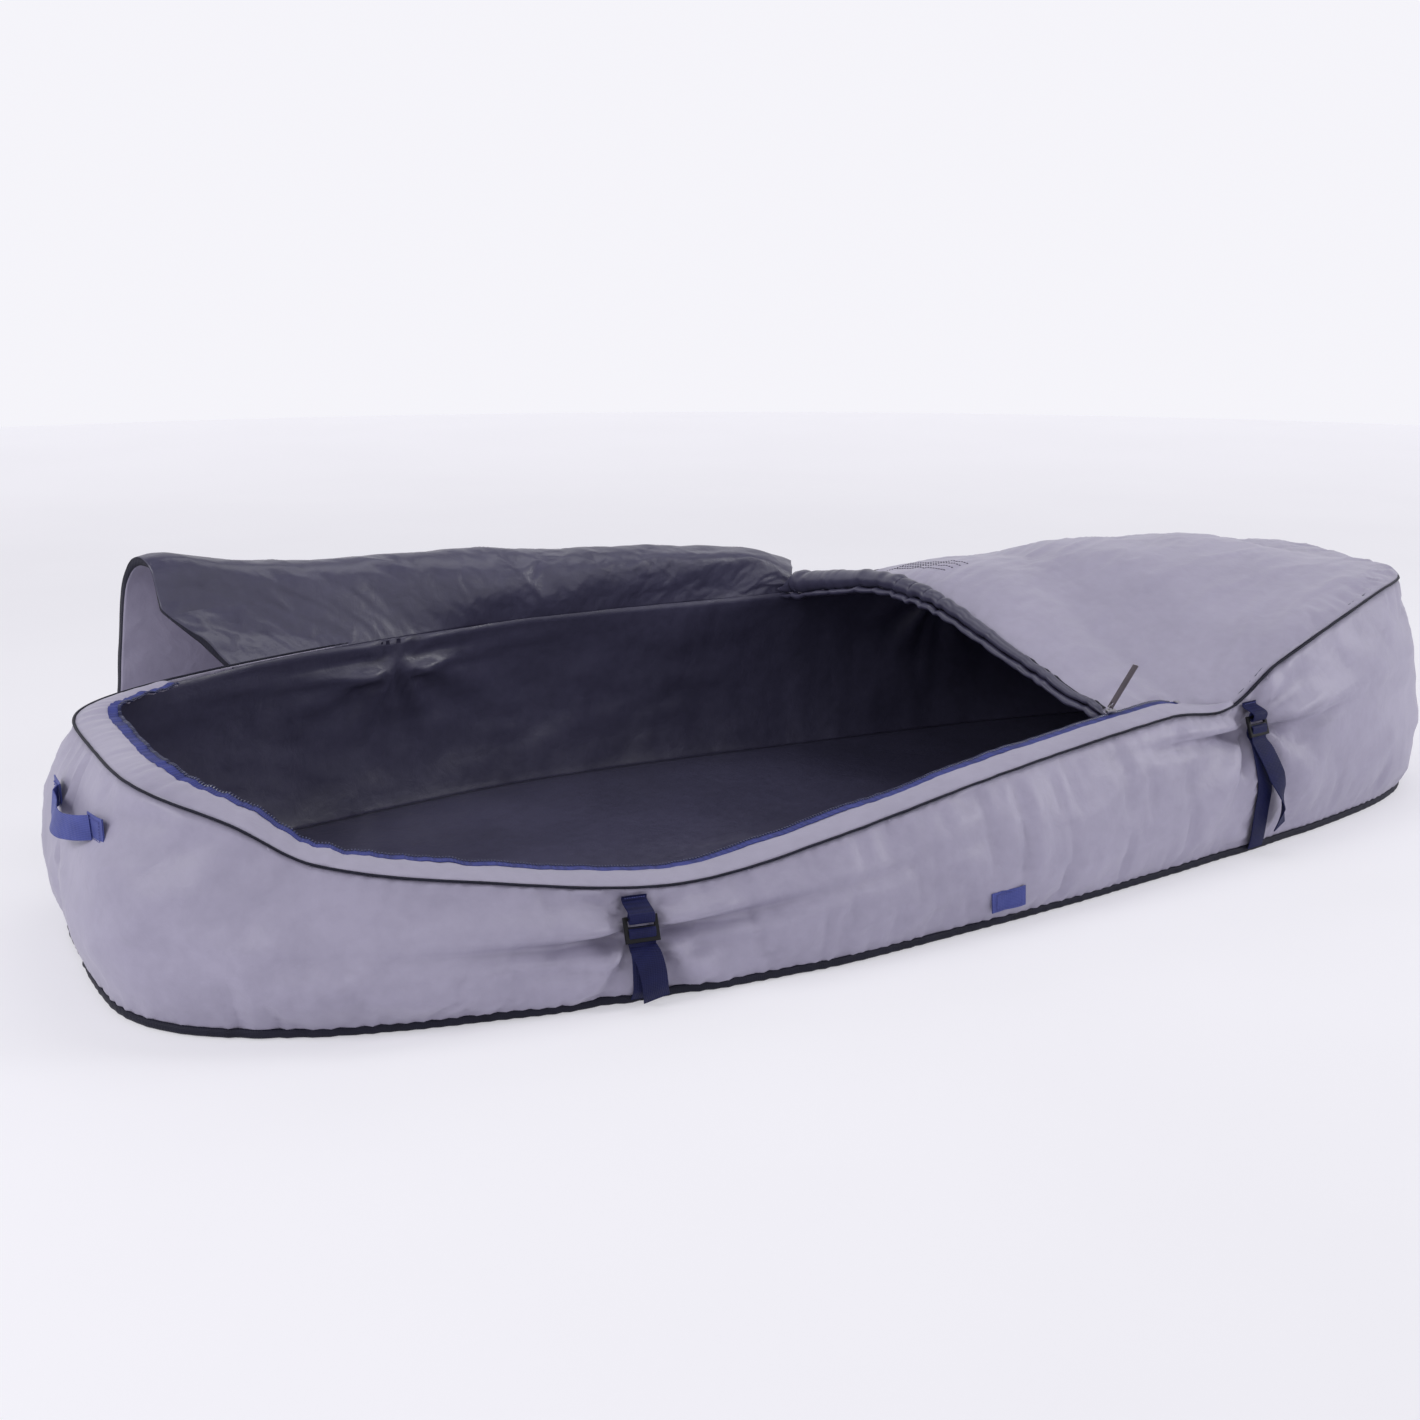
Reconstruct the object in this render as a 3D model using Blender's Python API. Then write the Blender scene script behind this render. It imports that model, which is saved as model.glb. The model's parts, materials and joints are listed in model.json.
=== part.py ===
"""Padded double board bag, standing open on its flat base.

Frame: origin at the middle of the base, on the floor; +X towards the nose, +Z up, the zipped
side towards -Y, the lid thrown open over the +Y side. Lengths in metres.
"""
import math

import bmesh
import bpy
from mathutils import Matrix, Vector

# ---- driving dimensions ----------------------------------------------------------------------
WIDEST_X = -0.25            # station where the bag is widest
HALF_WIDTH = 0.49           # half width there, at the floor
NOSE_LENGTH = 1.40          # from the widest station to the nose
TAIL_LENGTH = 0.90          # from the widest station to the tail
NOSE_TAPER = 0.085
TAIL_TAPER = 0.18
NOSE_SQUARENESS = 5.0
TAIL_SQUARENESS = 4.3
TAPER_START = 0.2

RING = 80                   # stations round the side wall
WALL_ROWS = 3               # bands up the side wall
WALL_BULGE = 0.016          # how far the side wall swells at mid height
WALL_LEAN = 0.03            # how far its top edge leans in

COVER = 0.0016              # outer cloth
FOAM_IN = 0.0020            # foam lies between these two depths behind the face of the cloth
FOAM_OUT = 0.0100
LINING_IN = 0.0104
LINING_OUT = 0.0116
GAP = 0.0004
BASE_CLOTH = 0.0024
WALL_FOOT = BASE_CLOTH + GAP

RIM_INSET = 0.085           # inner edge of the zip strip, from the foot line
RIM_CLOTH = 0.0016
RIM_GAP = 0.0032            # the strip lies this far above the wall's edge
TAPE_GAP = 0.0014           # and the zip tape this far above the strip
TAPE_WIDTH = 0.014
TAPE_THICK = 0.0010
TEETH_WIDTH = 0.004
TEETH_HEIGHT = 0.0024
LID_INSET = 0.096           # edge of the closed lid, from the foot line

# height of the side wall's top edge along the bag: (station, height)
NEAR_TOP = ((-1.15, 0.300), (-1.04, 0.262), (-0.95, 0.210), (-0.75, 0.170), (-0.50, 0.138),
            (-0.27, 0.168), (0.00, 0.208), (0.38, 0.242), (0.52, 0.235), (0.64, 0.292),
            (0.94, 0.370), (1.15, 0.376))
FAR_TOP = ((-1.15, 0.300), (-0.95, 0.304), (-0.60, 0.312), (0.00, 0.317), (0.25, 0.320),
           (0.45, 0.344), (0.80, 0.350), (1.15, 0.376))
DECK_CROWN = ((0.20, 0.085), (0.60, 0.100), (0.85, 0.066), (1.00, 0.032), (1.15, 0.010))

PARTING_NEAR = Vector((0.31, -0.36, 0.0))   # the line where lid and nose deck part
PARTING_FAR = Vector((0.21, 0.45, 0.0))
DECK_END_X = 1.149
DECK_GAP = 0.0055
DECK_SIDE_GAP = 0.004       # between the zip's teeth and the deck
ZIP_END_X = 0.45            # the zip strip narrows away ahead of here
STRIP_TAPER = 0.08

LID_HINGES = ((0.440, 0.335), (0.440, 0.420), (0.560, 0.420), (0.560, 0.024))   # (y, z)
LID_SLOPE = math.radians(7.5)
LID_LIP = 0.0044            # zip tape that stands out along the lid's long edge
LID_HALF = 0.0055           # half the thickness of the padded lid
FOLD_CLEAR = 0.0062         # each lid strip stops this far from its fold line
PARTING_CLEAR = 0.020       # and this far from the parting line
LID_CREST_DOME = 0.042      # swell of the crest strip at its tail end

STRAP_X = 0.56
STRAP_WIDTH = 0.036
STRAP_THICK = 0.0022
STRAP_STANDOFF = 0.0085
ANCHOR_DROP = 0.020
LOCK_WIDTH = 0.046
LOCK_HEIGHT = 0.034
LOCK_THICK = 0.0050
LOCK_BAR = 0.0055
LOCK_CLEAR = 0.0018         # between the lock's bars and the webbing ends

HANDLE_NEAR_Y = -0.165
HANDLE_FAR_Y = 0.065
HANDLE_Z = 0.236
HANDLE_WIDTH = 0.034
HANDLE_BULGE = 0.024
HANDLE_START = 0.010        # the loop's ends stand this far in front of the patches
HANDLE_THICK = 0.003
PATCH_LENGTH = 0.045

SLIDER_X = 0.300
SLIDER_LENGTH = 0.016
SLIDER_WIDTH = 0.011
SLIDER_HEIGHT = 0.0050
SLIDER_LIFT = 0.0032
PULL_LENGTH = 0.076
PULL_WIDTH = 0.010
PULL_THICK = 0.0032
PULL_LIFT = 0.0040
PULL_TILT = math.radians(52)

COLOURS = {                 # name: (colour, roughness, metallic)
    "shell_fabric": ((0.33, 0.30, 0.42, 1), 0.62, 0.0),
    "lining_fabric": ((0.022, 0.024, 0.036, 1), 0.38, 0.0),
    "base_fabric": ((0.012, 0.012, 0.018, 1), 0.75, 0.0),
    "foam": ((0.30, 0.30, 0.32, 1), 0.9, 0.0),
    "webbing": ((0.030, 0.045, 0.22, 1), 0.6, 0.0),
    "zip_tape": ((0.025, 0.04, 0.20, 1), 0.65, 0.0),
    "zip_teeth": ((0.02, 0.03, 0.13, 1), 0.35, 0.0),
    "buckle_plastic": ((0.012, 0.012, 0.013, 1), 0.35, 0.0),
    "slider_metal": ((0.45, 0.45, 0.47, 1), 0.3, 1.0),
    "puller": ((0.05, 0.045, 0.05, 1), 0.45, 0.0),
    "binding": ((0.012, 0.012, 0.02, 1), 0.6, 0.0),
}


# ---- shape of the bag ------------------------------------------------------------------------
def curve_value(points, x):
    """Smooth curve through (x, value) points, flat beyond both ends."""
    if x <= points[0][0]:
        return points[0][1]
    if x >= points[-1][0]:
        return points[-1][1]
    last = len(points) - 1
    i = max(k for k in range(last) if points[k][0] <= x)

    def slope(k):
        a, b = points[max(k - 1, 0)], points[min(k + 1, last)]
        return (b[1] - a[1]) / (b[0] - a[0])

    (x0, v0), (x1, v1) = points[i], points[i + 1]
    span = x1 - x0
    t = (x - x0) / span
    return ((2 * t**3 - 3 * t**2 + 1) * v0 + (t**3 - 2 * t**2 + t) * span * slope(i)
            + (3 * t**2 - 2 * t**3) * v1 + (t**3 - t**2) * span * slope(i + 1))


def taper_width(x):
    rate = NOSE_TAPER if x > WIDEST_X else TAIL_TAPER
    return HALF_WIDTH - rate * (math.hypot(x - WIDEST_X, TAPER_START) - TAPER_START)


def half_width(x):
    """Half width of the foot line at station x."""
    if x > WIDEST_X:
        reach, power = (x - WIDEST_X) / NOSE_LENGTH, NOSE_SQUARENESS
    else:
        reach, power = (WIDEST_X - x) / TAIL_LENGTH, TAIL_SQUARENESS
    return taper_width(x) * max(1 - min(reach, 1.0)**power, 0.0)**(1 / power)


def near_half_outline(steps=600):
    """Points of the foot line from the tail centre along -Y to the nose centre."""
    points = []
    for k in range(-steps, steps + 1):
        turn = k / steps * math.pi / 2
        length, power = (NOSE_LENGTH, NOSE_SQUARENESS) if k > 0 else (TAIL_LENGTH, TAIL_SQUARENESS)
        x = WIDEST_X + math.copysign(length * abs(math.sin(turn))**(2 / power), turn)
        points.append((x, -taper_width(x) * math.cos(turn)**(2 / power)))
    return points


def ring_stations():
    """Evenly spaced stations round the foot line: position and outward normal."""
    fine = near_half_outline()
    walked = [0.0]
    for a, b in zip(fine, fine[1:]):
        walked.append(walked[-1] + math.dist(a, b))
    near = []
    k = 0
    for i in range(RING // 2 + 1):
        want = walked[-1] * i / (RING // 2)
        while walked[k + 1] < want and k < len(fine) - 2:
            k += 1
        t = (want - walked[k]) / (walked[k + 1] - walked[k])
        near.append(Vector(fine[k]).lerp(Vector(fine[k + 1]), t))
    loop = near + [Vector((p.x, -p.y)) for p in reversed(near[1:-1])]
    stations = []
    for i, here in enumerate(loop):
        along = loop[(i + 1) % RING] - loop[i - 1]
        stations.append((here, Vector((along.y, -along.x)).normalized()))
    return stations


STATIONS = ring_stations()


def wall_top(x, y):
    """Height of the side wall's top edge."""
    near, far = curve_value(NEAR_TOP, x), curve_value(FAR_TOP, x)
    return near if y < 0 else far


def wall_swell(part):
    """Outward offset of the wall's face at a fraction of its height, in straight bands."""
    band = min(int(part * WALL_ROWS), WALL_ROWS - 1)
    low, high = band / WALL_ROWS, (band + 1) / WALL_ROWS
    t = (part - low) * WALL_ROWS

    def at(f):
        return WALL_BULGE * math.sin(math.pi * f) - WALL_LEAN * f * f

    return at(low) * (1 - t) + at(high) * t


def wall_point(station, z, out=0.0):
    here, normal = STATIONS[station % RING]
    top = wall_top(here.x, here.y)
    part = min(max((z - WALL_FOOT) / (top - WALL_FOOT), 0.0), 1.0)
    flat = here + normal * (wall_swell(part) + out)
    return Vector((flat.x, flat.y, z))


# ---- mesh tools ------------------------------------------------------------------------------
def material(name):
    found = bpy.data.materials.get(name)
    if found:
        return found
    made = bpy.data.materials.new(name)
    made.use_nodes = True
    shader = made.node_tree.nodes["Principled BSDF"]
    colour, roughness, metallic = COLOURS[name]
    shader.inputs["Base Color"].default_value = colour
    shader.inputs["Roughness"].default_value = roughness
    shader.inputs["Metallic"].default_value = metallic
    return made


def add_object(name, verts, faces, slot, origin=(0, 0, 0), smooth=False):
    """One closed solid from world points, with its origin where asked."""
    base = Vector(origin)
    mesh = bpy.data.meshes.new(name)
    mesh.from_pydata([Vector(v) - base for v in verts], [], faces)
    work = bmesh.new()
    work.from_mesh(mesh)
    bmesh.ops.recalc_face_normals(work, faces=work.faces)
    work.to_mesh(mesh)
    work.free()
    if smooth:
        mesh.shade_smooth()
    mesh.materials.append(material(slot))
    made = bpy.data.objects.new(name, mesh)
    made.location = base
    bpy.context.scene.collection.objects.link(made)
    return made


def slab(name, grid, normals, low, high, slot, ring=False, origin=(0, 0, 0)):
    """Solid between two offsets of a grid of points; ring joins the last column to the first."""
    columns, rows = len(grid), len(grid[0])
    verts = []
    for offset in (high, low):
        for column, directions in zip(grid, normals):
            verts += [p + n * offset for p, n in zip(column, directions)]
    layer = columns * rows

    def index(side, i, j):
        return side * layer + (i % columns) * rows + j

    faces = []
    spans = columns if ring else columns - 1
    for i in range(spans):
        for side in (0, 1):
            for j in range(rows - 1):
                a, b = index(side, i, j), index(side, i + 1, j)
                c, d = index(side, i + 1, j + 1), index(side, i, j + 1)
                faces += [(a, b, c), (a, c, d)]
        for j in (0, rows - 1):
            a, b = index(0, i, j), index(0, i + 1, j)
            c, d = index(1, i + 1, j), index(1, i, j)
            faces += [(a, b, c), (a, c, d)]
    if not ring:
        for i in (0, columns - 1):
            for j in range(rows - 1):
                a, b = index(0, i, j), index(0, i, j + 1)
                c, d = index(1, i, j + 1), index(1, i, j)
                faces += [(a, b, c), (a, c, d)]
    return add_object(name, verts, faces, slot, origin)


def prism(name, outline, low, high, slot):
    """Flat plate: the outline between two heights."""
    count = len(outline)
    verts = [(p.x, p.y, low) for p in outline] + [(p.x, p.y, high) for p in outline]
    sides = [(i, (i + 1) % count, count + (i + 1) % count, count + i) for i in range(count)]
    faces = [tuple(range(count)), tuple(range(count, 2 * count))] + sides
    return add_object(name, verts, faces, slot)


def barred_plate(name, across, down, windows, thick, place, slot, origin):
    """Plate with rectangular windows; across and down are its grid lines, place maps to world."""
    columns, rows = len(across) - 1, len(down) - 1

    def solid(i, j):
        return 0 <= i < columns and 0 <= j < rows and (i, j) not in windows

    verts = []
    for depth in (0.0, thick):
        for x in across:
            verts += [place @ Vector((x, depth, z)) for z in down]

    def index(side, i, j):
        return side * len(across) * len(down) + i * len(down) + j

    faces = []
    for i in range(columns):
        for j in range(rows):
            if not solid(i, j):
                continue
            for side in (0, 1):
                faces.append([index(side, i + a, j + b) for a, b in ((0, 0), (1, 0), (1, 1), (0, 1))])
            edges = (((0, -1), (0, 0), (1, 0)), ((0, 1), (0, 1), (1, 1)),
                     ((-1, 0), (0, 0), (0, 1)), ((1, 0), (1, 0), (1, 1)))
            for (di, dj), a, b in edges:
                if not solid(i + di, j + dj):
                    faces.append([index(0, i + a[0], j + a[1]), index(0, i + b[0], j + b[1]),
                                  index(1, i + b[0], j + b[1]), index(1, i + a[0], j + a[1])])
    return add_object(name, verts, faces, slot, origin)


# ---- base and side wall ----------------------------------------------------------------------
def make_base():
    layers = (("base_cover", 0.0, 0.0, BASE_CLOTH, "base_fabric"),
              ("base_foam", LINING_OUT + GAP, WALL_FOOT, WALL_FOOT + 0.008, "foam"),
              ("base_lining", LINING_OUT + GAP, WALL_FOOT + 0.0084, WALL_FOOT + 0.0096, "lining_fabric"))
    for name, inset, low, high, slot in layers:
        prism(name, [here - normal * inset for here, normal in STATIONS], low, high, slot)


def wall_grid(first, last, trim=0.0):
    """Columns of the side wall from one station to another, its two ends drawn back by trim."""
    grid, normals = [], []
    for station in range(first, last + 1):
        here, normal = STATIONS[station % RING]
        top = wall_top(here.x, here.y)
        heights = [WALL_FOOT + (top - WALL_FOOT) * j / WALL_ROWS for j in range(WALL_ROWS + 1)]
        grid.append([wall_point(station, z) for z in heights])
        normals.append([Vector((normal.x, normal.y, 0))] * (WALL_ROWS + 1))
    if trim:
        for end, inner in ((0, 1), (-1, -2)):
            share = trim / (grid[end][0] - grid[inner][0]).length
            grid[end] = [p.lerp(q, share) for p, q in zip(grid[end], grid[inner])]
    return grid, normals


TAIL_CORNER = 5             # stations from the tail centre to the tail corners


def make_walls():
    grid, normals = wall_grid(0, RING - 1)
    slab("side_wall_cover", grid, normals, -COVER, 0, "shell_fabric", ring=True)
    slab("side_wall_lining", grid, normals, -LINING_OUT, -LINING_IN, "lining_fabric", ring=True)
    panels = (("tail_wall_foam", -TAIL_CORNER, TAIL_CORNER), ("near_wall_foam", TAIL_CORNER, RING // 2),
              ("far_wall_foam", RING // 2, RING - TAIL_CORNER))
    for name, first, last in panels:
        grid, normals = wall_grid(first, last, trim=0.0006)
        slab(name, grid, normals, -FOAM_OUT, -FOAM_IN, "foam")


def edge_band(name, low_z, high_z, low, high, slot):
    """Band right round the outside of the wall; heights are functions of the station."""
    grid, normals = [], []
    for station in range(RING):
        normal = STATIONS[station][1]
        grid.append([wall_point(station, low_z(station)), wall_point(station, high_z(station))])
        normals.append([Vector((normal.x, normal.y, 0))] * 2)
    slab(name, grid, normals, low, high, slot, ring=True)


def station_top(station):
    here = STATIONS[station % RING][0]
    return wall_top(here.x, here.y)


def make_edge_bands():
    edge_band("bottom_binding", lambda s: WALL_FOOT, lambda s: 0.014, 0.0004, 0.0032, "binding")
    edge_band("top_seam_piping", lambda s: station_top(s) - 0.006, lambda s: station_top(s) - 0.001,
              0.0004, 0.0030, "binding")


# ---- zip strip -------------------------------------------------------------------------------
def rim_inset(x):
    """Distance of the zip strip's inner edge from the foot line."""
    t = min(max((x - ZIP_END_X) / STRIP_TAPER, 0.0), 1.0)
    return RIM_INSET - (RIM_INSET - WALL_LEAN - 0.006) * t * t * (3 - 2 * t)


def rim_stations(last_x):
    """Stations from the far tail corner round the tail and along the near side."""
    near = [s for s in range(RING // 2) if STATIONS[s][0].x < last_x]
    return list(range(-TAIL_CORNER - 1, 0)) + near


def rim_band(name, last_x, outer, inner, low, high, slot):
    """Level band on the rim between two insets, which are functions of the station's x."""
    grid, normals = [], []
    for station in rim_stations(last_x):
        here, normal = STATIONS[station % RING]
        z = station_top(station) + RIM_GAP
        column = []
        for inset in (outer, inner):
            flat = here - normal * inset(here.x)
            column.append(Vector((flat.x, flat.y, z)))
        grid.append(column)
        normals.append([Vector((0, 0, 1))] * 2)
    slab(name, grid, normals, low, high, slot)


def make_rim():
    rim_band("rim_strip", ZIP_END_X + STRIP_TAPER, lambda x: WALL_LEAN, rim_inset,
             0, RIM_CLOTH, "shell_fabric")
    tape_low = RIM_CLOTH + TAPE_GAP
    rim_band("rim_zip_tape", ZIP_END_X, lambda x: RIM_INSET - TAPE_WIDTH, lambda x: RIM_INSET,
             tape_low, tape_low + TAPE_THICK, "zip_tape")
    rim_band("rim_zip_teeth", ZIP_END_X, lambda x: RIM_INSET + GAP,
             lambda x: RIM_INSET + GAP + TEETH_WIDTH, tape_low - 0.0006,
             tape_low - 0.0006 + TEETH_HEIGHT, "zip_teeth")


# ---- nose deck -------------------------------------------------------------------------------
DECK_COLUMNS = 14
DECK_ROWS = 8


def parting_x(y):
    t = (y - PARTING_NEAR.y) / (PARTING_FAR.y - PARTING_NEAR.y)
    return PARTING_NEAR.x + (PARTING_FAR.x - PARTING_NEAR.x) * t


def deck_point(u, v):
    """Point of the nose deck: u from the parting line to the nose, v from near to far edge."""
    start = PARTING_NEAR.lerp(PARTING_FAR, v).x
    x = start + (DECK_END_X - start) * u
    width = half_width(x)
    near_edge = -(width - rim_inset(x) - TEETH_WIDTH - DECK_SIDE_GAP)
    far_edge = width - WALL_LEAN
    y = near_edge + (far_edge - near_edge) * v
    skewed = v**1.2
    crown = curve_value(DECK_CROWN, x) * math.sin(math.pi * skewed)**1.7
    z = wall_top(x, -1) * (1 - v) + wall_top(x, 1) * v + crown
    return Vector((x, y, z + DECK_GAP))


def nose_spacing(i):
    """Deck stations crowd together towards the nose, where the outline turns quickly."""
    t = i / DECK_COLUMNS
    return t * (1.45 - 0.45 * t)


def make_deck():
    grid = [[deck_point(nose_spacing(i), j / DECK_ROWS) for j in range(DECK_ROWS + 1)]
            for i in range(DECK_COLUMNS + 1)]
    normals = [[Vector((0, 0, 1))] * (DECK_ROWS + 1)] * (DECK_COLUMNS + 1)
    slab("deck_lining", grid, normals, 0, LINING_OUT - LINING_IN, "lining_fabric")
    slab("deck_foam", grid, normals, 0.0016, 0.0096, "foam")
    slab("deck_cover", grid, normals, 0.0100, 0.0116, "shell_fabric")
    edge = [[p - Vector((0.0008, 0, 0)) for p in (q, q - Vector((0.003, 0, 0)))] for q in grid[0]]
    up = [[Vector((0, 0, 1))] * 2] * (DECK_ROWS + 1)
    slab("deck_edge_binding", edge[1:-1], up[1:-1], -0.001, 0.0126, "binding")


# ---- lid: four strips that unroll over the far side ------------------------------------------
LID_COLUMNS = 10


def lid_half_width(x):
    """Half width of the closed lid, which keeps inside the rim's zip."""
    if x > WIDEST_X:
        return half_width(x) - LID_INSET
    reach = min((WIDEST_X - x) / (TAIL_LENGTH - LID_INSET), 1.0)
    return (taper_width(x) - LID_INSET) * (1 - reach**TAIL_SQUARENESS)**(1 / TAIL_SQUARENESS)


def lid_outline_x(y):
    """Tail end of the closed lid at a distance y across the bag."""
    target = min(abs(y), 0.30)
    low, high = WIDEST_X - TAIL_LENGTH + LID_INSET, -0.40
    for _ in range(30):
        middle = (low + high) / 2
        if lid_half_width(middle) < target:
            low = middle
        else:
            high = middle
    return (low + high) / 2


def chain_lengths():
    return [math.dist(a, b) for a, b in zip(LID_HINGES, LID_HINGES[1:])]


def closed_y(distance):
    """Distance across the bag of a point of the closed lid, from its run along the lid."""
    return LID_HINGES[0][0] - distance * math.cos(LID_SLOPE)


STRIPS = (                  # name, start (y, z), direction (y, z), lining side (y, z)
    ("a", (0, 1), (-1, 0)),
    ("b", (1, 0), (0, 1)),
    ("c", (0, -1), (1, 0)),
    ("d", (1, 0), (0, 1)),
)


def lid_strip(number):
    """Mid surface of one strip at rest, and its lining-side normals."""
    name, along, lining = STRIPS[number]
    start = LID_HINGES[number]
    lengths = chain_lengths()
    before = sum(lengths[:number])
    rows = 3 if name == "b" else 1
    grid = []
    for i in range(LID_COLUMNS + 1):
        share = i / LID_COLUMNS
        column = []
        for j in range(rows + 1):
            if number < 3:
                reach = FOLD_CLEAR + (lengths[number] - 2 * FOLD_CLEAR) * j / rows
                across = closed_y(before + reach)
                tail = lid_outline_x(across)
                x = tail + (parting_x(across) - PARTING_CLEAR - tail) * share
            else:
                tail = lid_outline_x(closed_y(before)) + 0.03
                x = tail + (parting_x(closed_y(before)) - PARTING_CLEAR - tail) * share
                edge = (lid_half_width(x) + LID_HINGES[0][0]) / math.cos(LID_SLOPE) - before
                reach = FOLD_CLEAR + (edge - FOLD_CLEAR) * j / rows
            lift = 0.0
            if name == "b":
                lift = LID_CREST_DOME * math.sin(math.pi * j / rows) * (1 - share)**1.5
            column.append(Vector((x, start[0] + along[0] * reach + lining[0] * lift,
                                  start[1] + along[1] * reach + lining[1] * lift)))
        grid.append(column)
    normals = [[Vector((0, lining[0], lining[1]))] * (rows + 1)] * (LID_COLUMNS + 1)
    return grid, normals


def make_lid():
    for number, (name, _, _) in enumerate(STRIPS):
        grid, normals = lid_strip(number)
        origin = (0, LID_HINGES[number][0], LID_HINGES[number][1])
        slab(f"lid_cover_{name}", grid, normals, -LID_HALF, -LID_HALF + COVER, "shell_fabric",
             origin=origin)
        slab(f"lid_foam_{name}", grid, normals, -LID_HALF + COVER + GAP, LID_HALF - COVER - GAP,
             "foam", origin=origin)
        slab(f"lid_lining_{name}", grid, normals, LID_HALF - COVER, LID_HALF, "lining_fabric",
             origin=origin)
        nose = [[p + Vector((0.0006, 0, 0)), p + Vector((0.0042, 0, 0))] for p in grid[-1]]
        slab(f"lid_binding_{name}", nose, [normals[-1][:1] * 2] * len(nose), -LID_HALF, LID_HALF,
             "binding", origin=origin)
    grid, _ = lid_strip(3)
    lip = [[c[-1] + Vector((0, 0.0006, 0)), c[-1] + Vector((0, 0.0006 + LID_LIP, 0))] for c in grid]
    slab("lid_zip_tape", lip, [[Vector((0, 0, 1))] * 2] * len(lip), -0.0005, 0.0005, "zip_tape",
         origin=(0, LID_HINGES[3][0], LID_HINGES[3][1]))


# ---- straps ----------------------------------------------------------------------------------
def strap_frame(x, side):
    """Foot point of a strap, its outward normal and its direction along the bag."""
    step = 0.01
    slope = (half_width(x + step) - half_width(x - step)) / (2 * step)
    along = Vector((1, side * slope, 0)).normalized()
    out = Vector((-along.y * side, along.x * side, 0))
    return Vector((x, side * half_width(x), 0)), out, along


def strap_face(x, side, z):
    """Outward offset of the wall's face at height z beside a strap."""
    top = wall_top(x, side)
    return wall_swell(min(max((z - WALL_FOOT) / (top - WALL_FOOT), 0.0), 1.0))


def strap_slab(name, x, side, levels, standoff, shift=lambda z: 0.0):
    foot, out, along = strap_frame(x, side)
    grid = []
    for offset in (-STRAP_WIDTH / 2, STRAP_WIDTH / 2):
        column = []
        for z in levels:
            flat = foot + along * (offset + shift(z)) + out * (strap_face(x, side, z) + standoff)
            column.append(Vector((flat.x, flat.y, z)))
        grid.append(column)
    slab(name, grid, [[out] * len(levels)] * 2, 0, STRAP_THICK, "webbing")


def levels(high, low, count):
    return [high + (low - high) * k / count for k in range(count + 1)]


def make_strap(label, x, side):
    top = wall_top(x, side) - 0.008
    lock_top = top - ANCHOR_DROP
    lock_low = lock_top - LOCK_HEIGHT
    strap_slab(f"strap_anchor_{label}", x, side, levels(top, lock_top + LOCK_CLEAR, 1), STRAP_STANDOFF)
    strap_slab(f"strap_lower_{label}", x, side, levels(lock_low - LOCK_CLEAR, 0.016, 4), STRAP_STANDOFF)
    strap_slab(f"strap_tail_{label}", x, side, levels(lock_low - LOCK_CLEAR, 0.003, 4),
               STRAP_STANDOFF + STRAP_THICK + 0.004, lambda z: (lock_low - z) * 0.22)
    foot, out, along = strap_frame(x, side)
    origin = foot + out * (strap_face(x, side, lock_top) + STRAP_STANDOFF)
    origin.z = lock_top - LOCK_BAR / 2
    low_face = strap_face(x, side, lock_low) - strap_face(x, side, lock_top)
    down = Vector((out.x * low_face, out.y * low_face, -LOCK_HEIGHT)).normalized()
    facing = along.cross(down)
    if facing.dot(out) < 0:
        facing = -facing
    place = Matrix.Translation(origin) @ Matrix((along, facing, -down)).transposed().to_4x4()
    half = LOCK_WIDTH / 2
    across = (-half, -half + LOCK_BAR, half - LOCK_BAR, half)
    top_line = LOCK_BAR / 2
    slot = (LOCK_HEIGHT - 3 * LOCK_BAR) / 2
    rise = [top_line - LOCK_HEIGHT, top_line - LOCK_HEIGHT + LOCK_BAR,
            top_line - 2 * LOCK_BAR - slot, top_line - LOCK_BAR - slot, top_line - LOCK_BAR, top_line]
    barred_plate(f"ladder_lock_{label}", across, rise, ((1, 1), (1, 3)), LOCK_THICK, place,
                 "buckle_plastic", origin)


def make_straps():
    for side_name, side in (("near", -1), ("far", 1)):
        for end_name, x in (("tail", -STRAP_X), ("nose", STRAP_X)):
            make_strap(f"{side_name}_{end_name}", x, side)


# ---- tail handle, side tabs ------------------------------------------------------------------
def tail_face(y, z):
    """x of the tail wall's face at a distance y across and a height z."""
    station = STATIONS[0][0]
    reach = abs(y) / taper_width(station.x)
    curve = WIDEST_X - TAIL_LENGTH * (1 - reach**TAIL_SQUARENESS)**(1 / TAIL_SQUARENESS)
    top = wall_top(curve, y)
    return curve - wall_swell(min((z - WALL_FOOT) / (top - WALL_FOOT), 1.0))


def make_tail_handle():
    half = HANDLE_WIDTH / 2
    inner_near = HANDLE_NEAR_Y + PATCH_LENGTH
    inner_far = HANDLE_FAR_Y - PATCH_LENGTH
    clear = 0.005
    for name, y0, y1 in (("near", HANDLE_NEAR_Y, inner_near), ("far", inner_far, HANDLE_FAR_Y)):
        grid = [[Vector((tail_face(y, z) - clear, y, z)) for z in (HANDLE_Z - half, HANDLE_Z + half)]
                for y in (y0, y1)]
        slab(f"tail_handle_patch_{name}", grid, [[Vector((-1, 0, 0))] * 2] * 2, 0, HANDLE_THICK, "webbing")
    steps = 10
    grid = []
    for k in range(steps + 1):
        y = inner_near + GAP + (inner_far - inner_near - 2 * GAP) * k / steps
        out = HANDLE_START + HANDLE_BULGE * math.sin(math.pi * k / steps)
        grid.append([Vector((tail_face(y, z) - clear - out, y, z)) for z in
                     (HANDLE_Z - half, HANDLE_Z + half)])
    axis_x = tail_face(inner_far, HANDLE_Z) - clear - HANDLE_START
    slab("tail_handle", grid, [[Vector((-1, 0, 0))] * 2] * len(grid), 0, HANDLE_THICK, "webbing",
         origin=(axis_x, (inner_near + inner_far) / 2, HANDLE_Z))


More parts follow.
